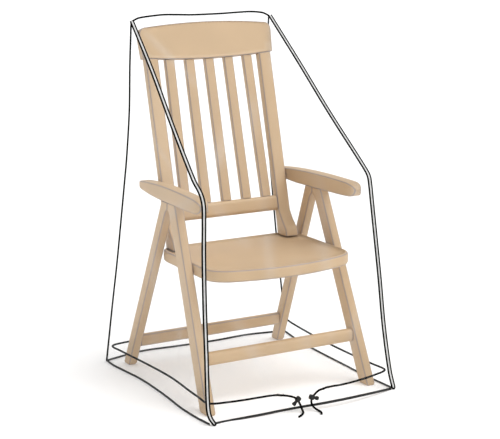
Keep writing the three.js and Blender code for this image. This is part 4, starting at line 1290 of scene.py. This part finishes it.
def on_arm(side, point):
    """An arm narrows to a round end, seen from above, and splays outwards."""
    short = 1 - clamp(min(point.x - ARM_FRONT, ARM_BACK - point.x) / ARM_END, 0, 1)
    width = point.z * (0.3 + 0.7 * math.sqrt(1 - short ** 2))
    turned = Matrix.Rotation(math.radians(side * ARM["splay"]), 3, "Z") @ Vector((width, point.x, point.y))
    return turned + Vector((side * ARM["middle"], 0, ARM["low"]))


chair.append(plate("seat", SEAT_OUTLINE, SEAT["thick"], SEAT["soft"], on_seat, (0, -SEAT["dip"])))
for side, label in SIDES:
    chair.append(plate(f"arm_{label}", ARM_OUTLINE, ARM["width"], ARM["soft"], partial(on_arm, side),
                       (ARM["swell"], ARM["swell"])))
ends, inner = TOP_RAIL["ends"], RAIL_HALF - RAIL_INSET
shoulder, crown = ends - TOP_RAIL["corner"], RAIL_HALF - TOP_RAIL["corner"]
rail_outline = (
    (-inner, RAIL_LOW_ENDS), (inner, RAIL_LOW_ENDS, 0, 2 * RAIL_LOW_MIDDLE - RAIL_LOW_ENDS),
    (RAIL_HALF, shoulder), (crown, ends, RAIL_HALF, ends), (-crown, ends, 0, 2 * TOP_RAIL["middle"] - ends),
    (-RAIL_HALF, shoulder, -RAIL_HALF, ends), (-inner, RAIL_LOW_ENDS),
)
chair.append(plate("top_rail", rail_outline, TOP_RAIL["thick"], TOP_RAIL["soft"],
                   lambda point: on_back(*point), (TOP_RAIL["swell"], TOP_RAIL["swell"])))
for piece in chair:
    print(piece.name, len(piece.data.polygons), box_in_mm(piece))

# %% [markdown]
# ## The locks
# The two spring locks are moulded, and their solids keep their shape. They take the black finish.

# %% Finish for the locks
locks = [solid for name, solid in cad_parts.items() if name.startswith("lock_")]
for solid in locks:
    solid.data.materials.clear()
    solid.data.materials.append(LOCK)
print("lock pieces finished:", len(locks))

# %% [markdown]
# ## Stitches, by a node tree
# A sewn seam is a row of equal stitches, each a short bead of thread that sinks in at both ends. The
# tree turns any line of points into a curve, spaces points along it by the stitch pitch, and lays one
# low bead on each, turned along the seam. A fixed seed varies their length a little, as a machine does.

# %% Tree of the stitches


def stitch_tree():
    tree, start, end = geometry_tree("row of stitches", [
        ("Pitch", "Float", 0.004), ("Length", "Float", 0.003), ("Thread", "Float", 0.0008),
        ("Variation", "Float", 0.1), ("Seed", "Int", 4),
    ])
    path = node(tree, "GeometryNodeMeshToCurve", {"Mesh": start["Geometry"]})
    spaced = node(tree, "GeometryNodeResampleCurve", {
        "Curve": path.outputs[0], "Length": start["Pitch"]}, mode="LENGTH")
    bead = node(tree, "GeometryNodeMeshUVSphere", {"Segments": 6, "Rings": 4, "Radius": 0.5})
    tangent = node(tree, "GeometryNodeInputTangent").outputs[0]
    turned = node(tree, "FunctionNodeAlignRotationToVector", {"Vector": tangent}, axis="Z")
    chance = node(tree, "FunctionNodeRandomValue", {"Seed": start["Seed"]}, data_type="FLOAT")
    lowest = next(socket for socket in chance.inputs if socket.name == "Min" and socket.enabled)
    feed(tree, lowest, maths(tree, "SUBTRACT", 1.0, start["Variation"]))
    share = next(socket for socket in chance.outputs if socket.enabled)
    length = maths(tree, "MULTIPLY", start["Length"], share)
    laid = node(tree, "GeometryNodeInstanceOnPoints", {
        "Points": spaced.outputs[0], "Instance": bead.outputs["Mesh"], "Rotation": turned.outputs["Rotation"],
        "Scale": joined(tree, start["Thread"], start["Thread"], length)})
    return finish_tree(tree, start, end, laid.outputs[0])


STITCHES = stitch_tree()
THREAD = woven_material("white thread", (0.72, 0.72, 0.71), 2500.0, 0.75, 0.1 * MM, "Object")
DARK_THREAD = woven_material("black thread", (0.01, 0.01, 0.01), 2500.0, 0.8, 0.1 * MM, "Object")


def stitched(name, rows, slot, node_name, **values):
    """One piece of stitches along rows of points."""
    points, edges = [], []
    for row in rows:
        edges += [(i, i + 1) for i in range(len(points), len(points) + len(row) - 1)]
        points += row
    return stands_for(grown(name, STITCHES, values, points, edges), slot, node_name)


print("stitch tree nodes:", len(STITCHES.nodes))

# %% Stitches on the tapes and along the hem
TAPE_STITCH = {"Pitch": 4.2 * MM, "Length": 3.1 * MM, "Thread": 0.75 * MM, "Material": THREAD}
TAPE_STITCH_AT = 1.75
TAPE_STITCH_DEPTH = 0.82
HEM_STITCH = {"Pitch": 5.0 * MM, "Length": 3.4 * MM, "Thread": 0.8 * MM, "Material": DARK_THREAD}
HEM_STITCH_HEIGHT = 5.6
HEM_STITCH_STEPS = 90
SEAM_MARGIN = 0.02


def tape_row(side, across):
    return [tape_at(side, height, across) + tape_normal(side, height) * TAPE_BAND * TAPE_STITCH_DEPTH * MM
            for height in tape_levels()[1:-1]]


def hem_row(label):
    """Points on the outside of a panel's hem, one height over the floor."""
    out = Vector(PANELS[label][-1])
    row = []
    for i in range(HEM_STITCH_STEPS + 1):
        across = mixed(SEAM_MARGIN, 1 - SEAM_MARGIN, i / HEM_STITCH_STEPS)
        before, point, after = (SURFACES[label](clamp(place, 0, 1), HEM_STITCH_HEIGHT)
                                for place in (across - 0.01, across, across + 0.01))
        along = after - before
        normal = Vector((along.y, -along.x, 0)).normalized()
        row.append(lifted(point + normal * math.copysign(HEM_THICKNESS / 2, normal.dot(out))))
    return row


for side, label in SIDES:
    rows = [tape_row(side, at) for at in (-TAPE_STITCH_AT, TAPE_STITCH_AT)]
    stitched(f"tape_stitches_{label}", rows, "tape", f"seam_tape_{label}", **TAPE_STITCH)
for label in PANELS:
    stitched(f"hem_stitches_{label}", [hem_row(label)], "film", f"{label}_panel",
                                   **HEM_STITCH)

# %% [markdown]

# %% [markdown]
# ## Floor and light
# The picture has a plain white ground. Area lights would fade with distance and grey the far floor,
# so a white surround does most of the work, and one very soft sun from the right gives the faces of
# the chair their different tones.

# %% Floor and lights
FLOOR_HALF = 30
SUN_FROM = Vector((1.9, -1.9, 4.2))


def floor_material():
    material, tree, shader, place = blank_material("pale floor")
    tone = effect(tree, MOTTLE, place["Object"], Size=1.5, Low=0.985, High=1.0)["Tone"]
    feed(tree, shader["Base Color"], tinted(tree, (0.93, 0.93, 0.93), tone))
    shader["Roughness"].default_value = 0.9
    shader["Emission Color"].default_value = (1, 1, 1, 1)
    shader["Emission Strength"].default_value = 0.12
    return material


floor_corners = [(x * FLOOR_HALF, y * FLOOR_HALF, 0) for x, y in ((-1, -1), (1, -1), (1, 1), (-1, 1))]
piece_from("floor", floor_corners, [(0, 1, 2, 3)], floor_material())
world = bpy.data.worlds.new("surround")
bpy.context.scene.world = world
world.use_nodes = True
surround = next(n for n in world.node_tree.nodes if n.type == "BACKGROUND")
surround.inputs["Color"].default_value = (1, 1, 1, 1)
surround.inputs["Strength"].default_value = 0.8
sun = bpy.data.lights.new("soft sun", "SUN")
sun.energy = 1.7
sun.angle = math.radians(50)
in_scene("soft sun", sun).rotation_euler = (-SUN_FROM).to_track_quat("-Z", "Y").to_euler()
bpy.context.scene.view_settings.view_transform = "Standard"
print("light from", [round(value, 2) for value in SUN_FROM.normalized()])
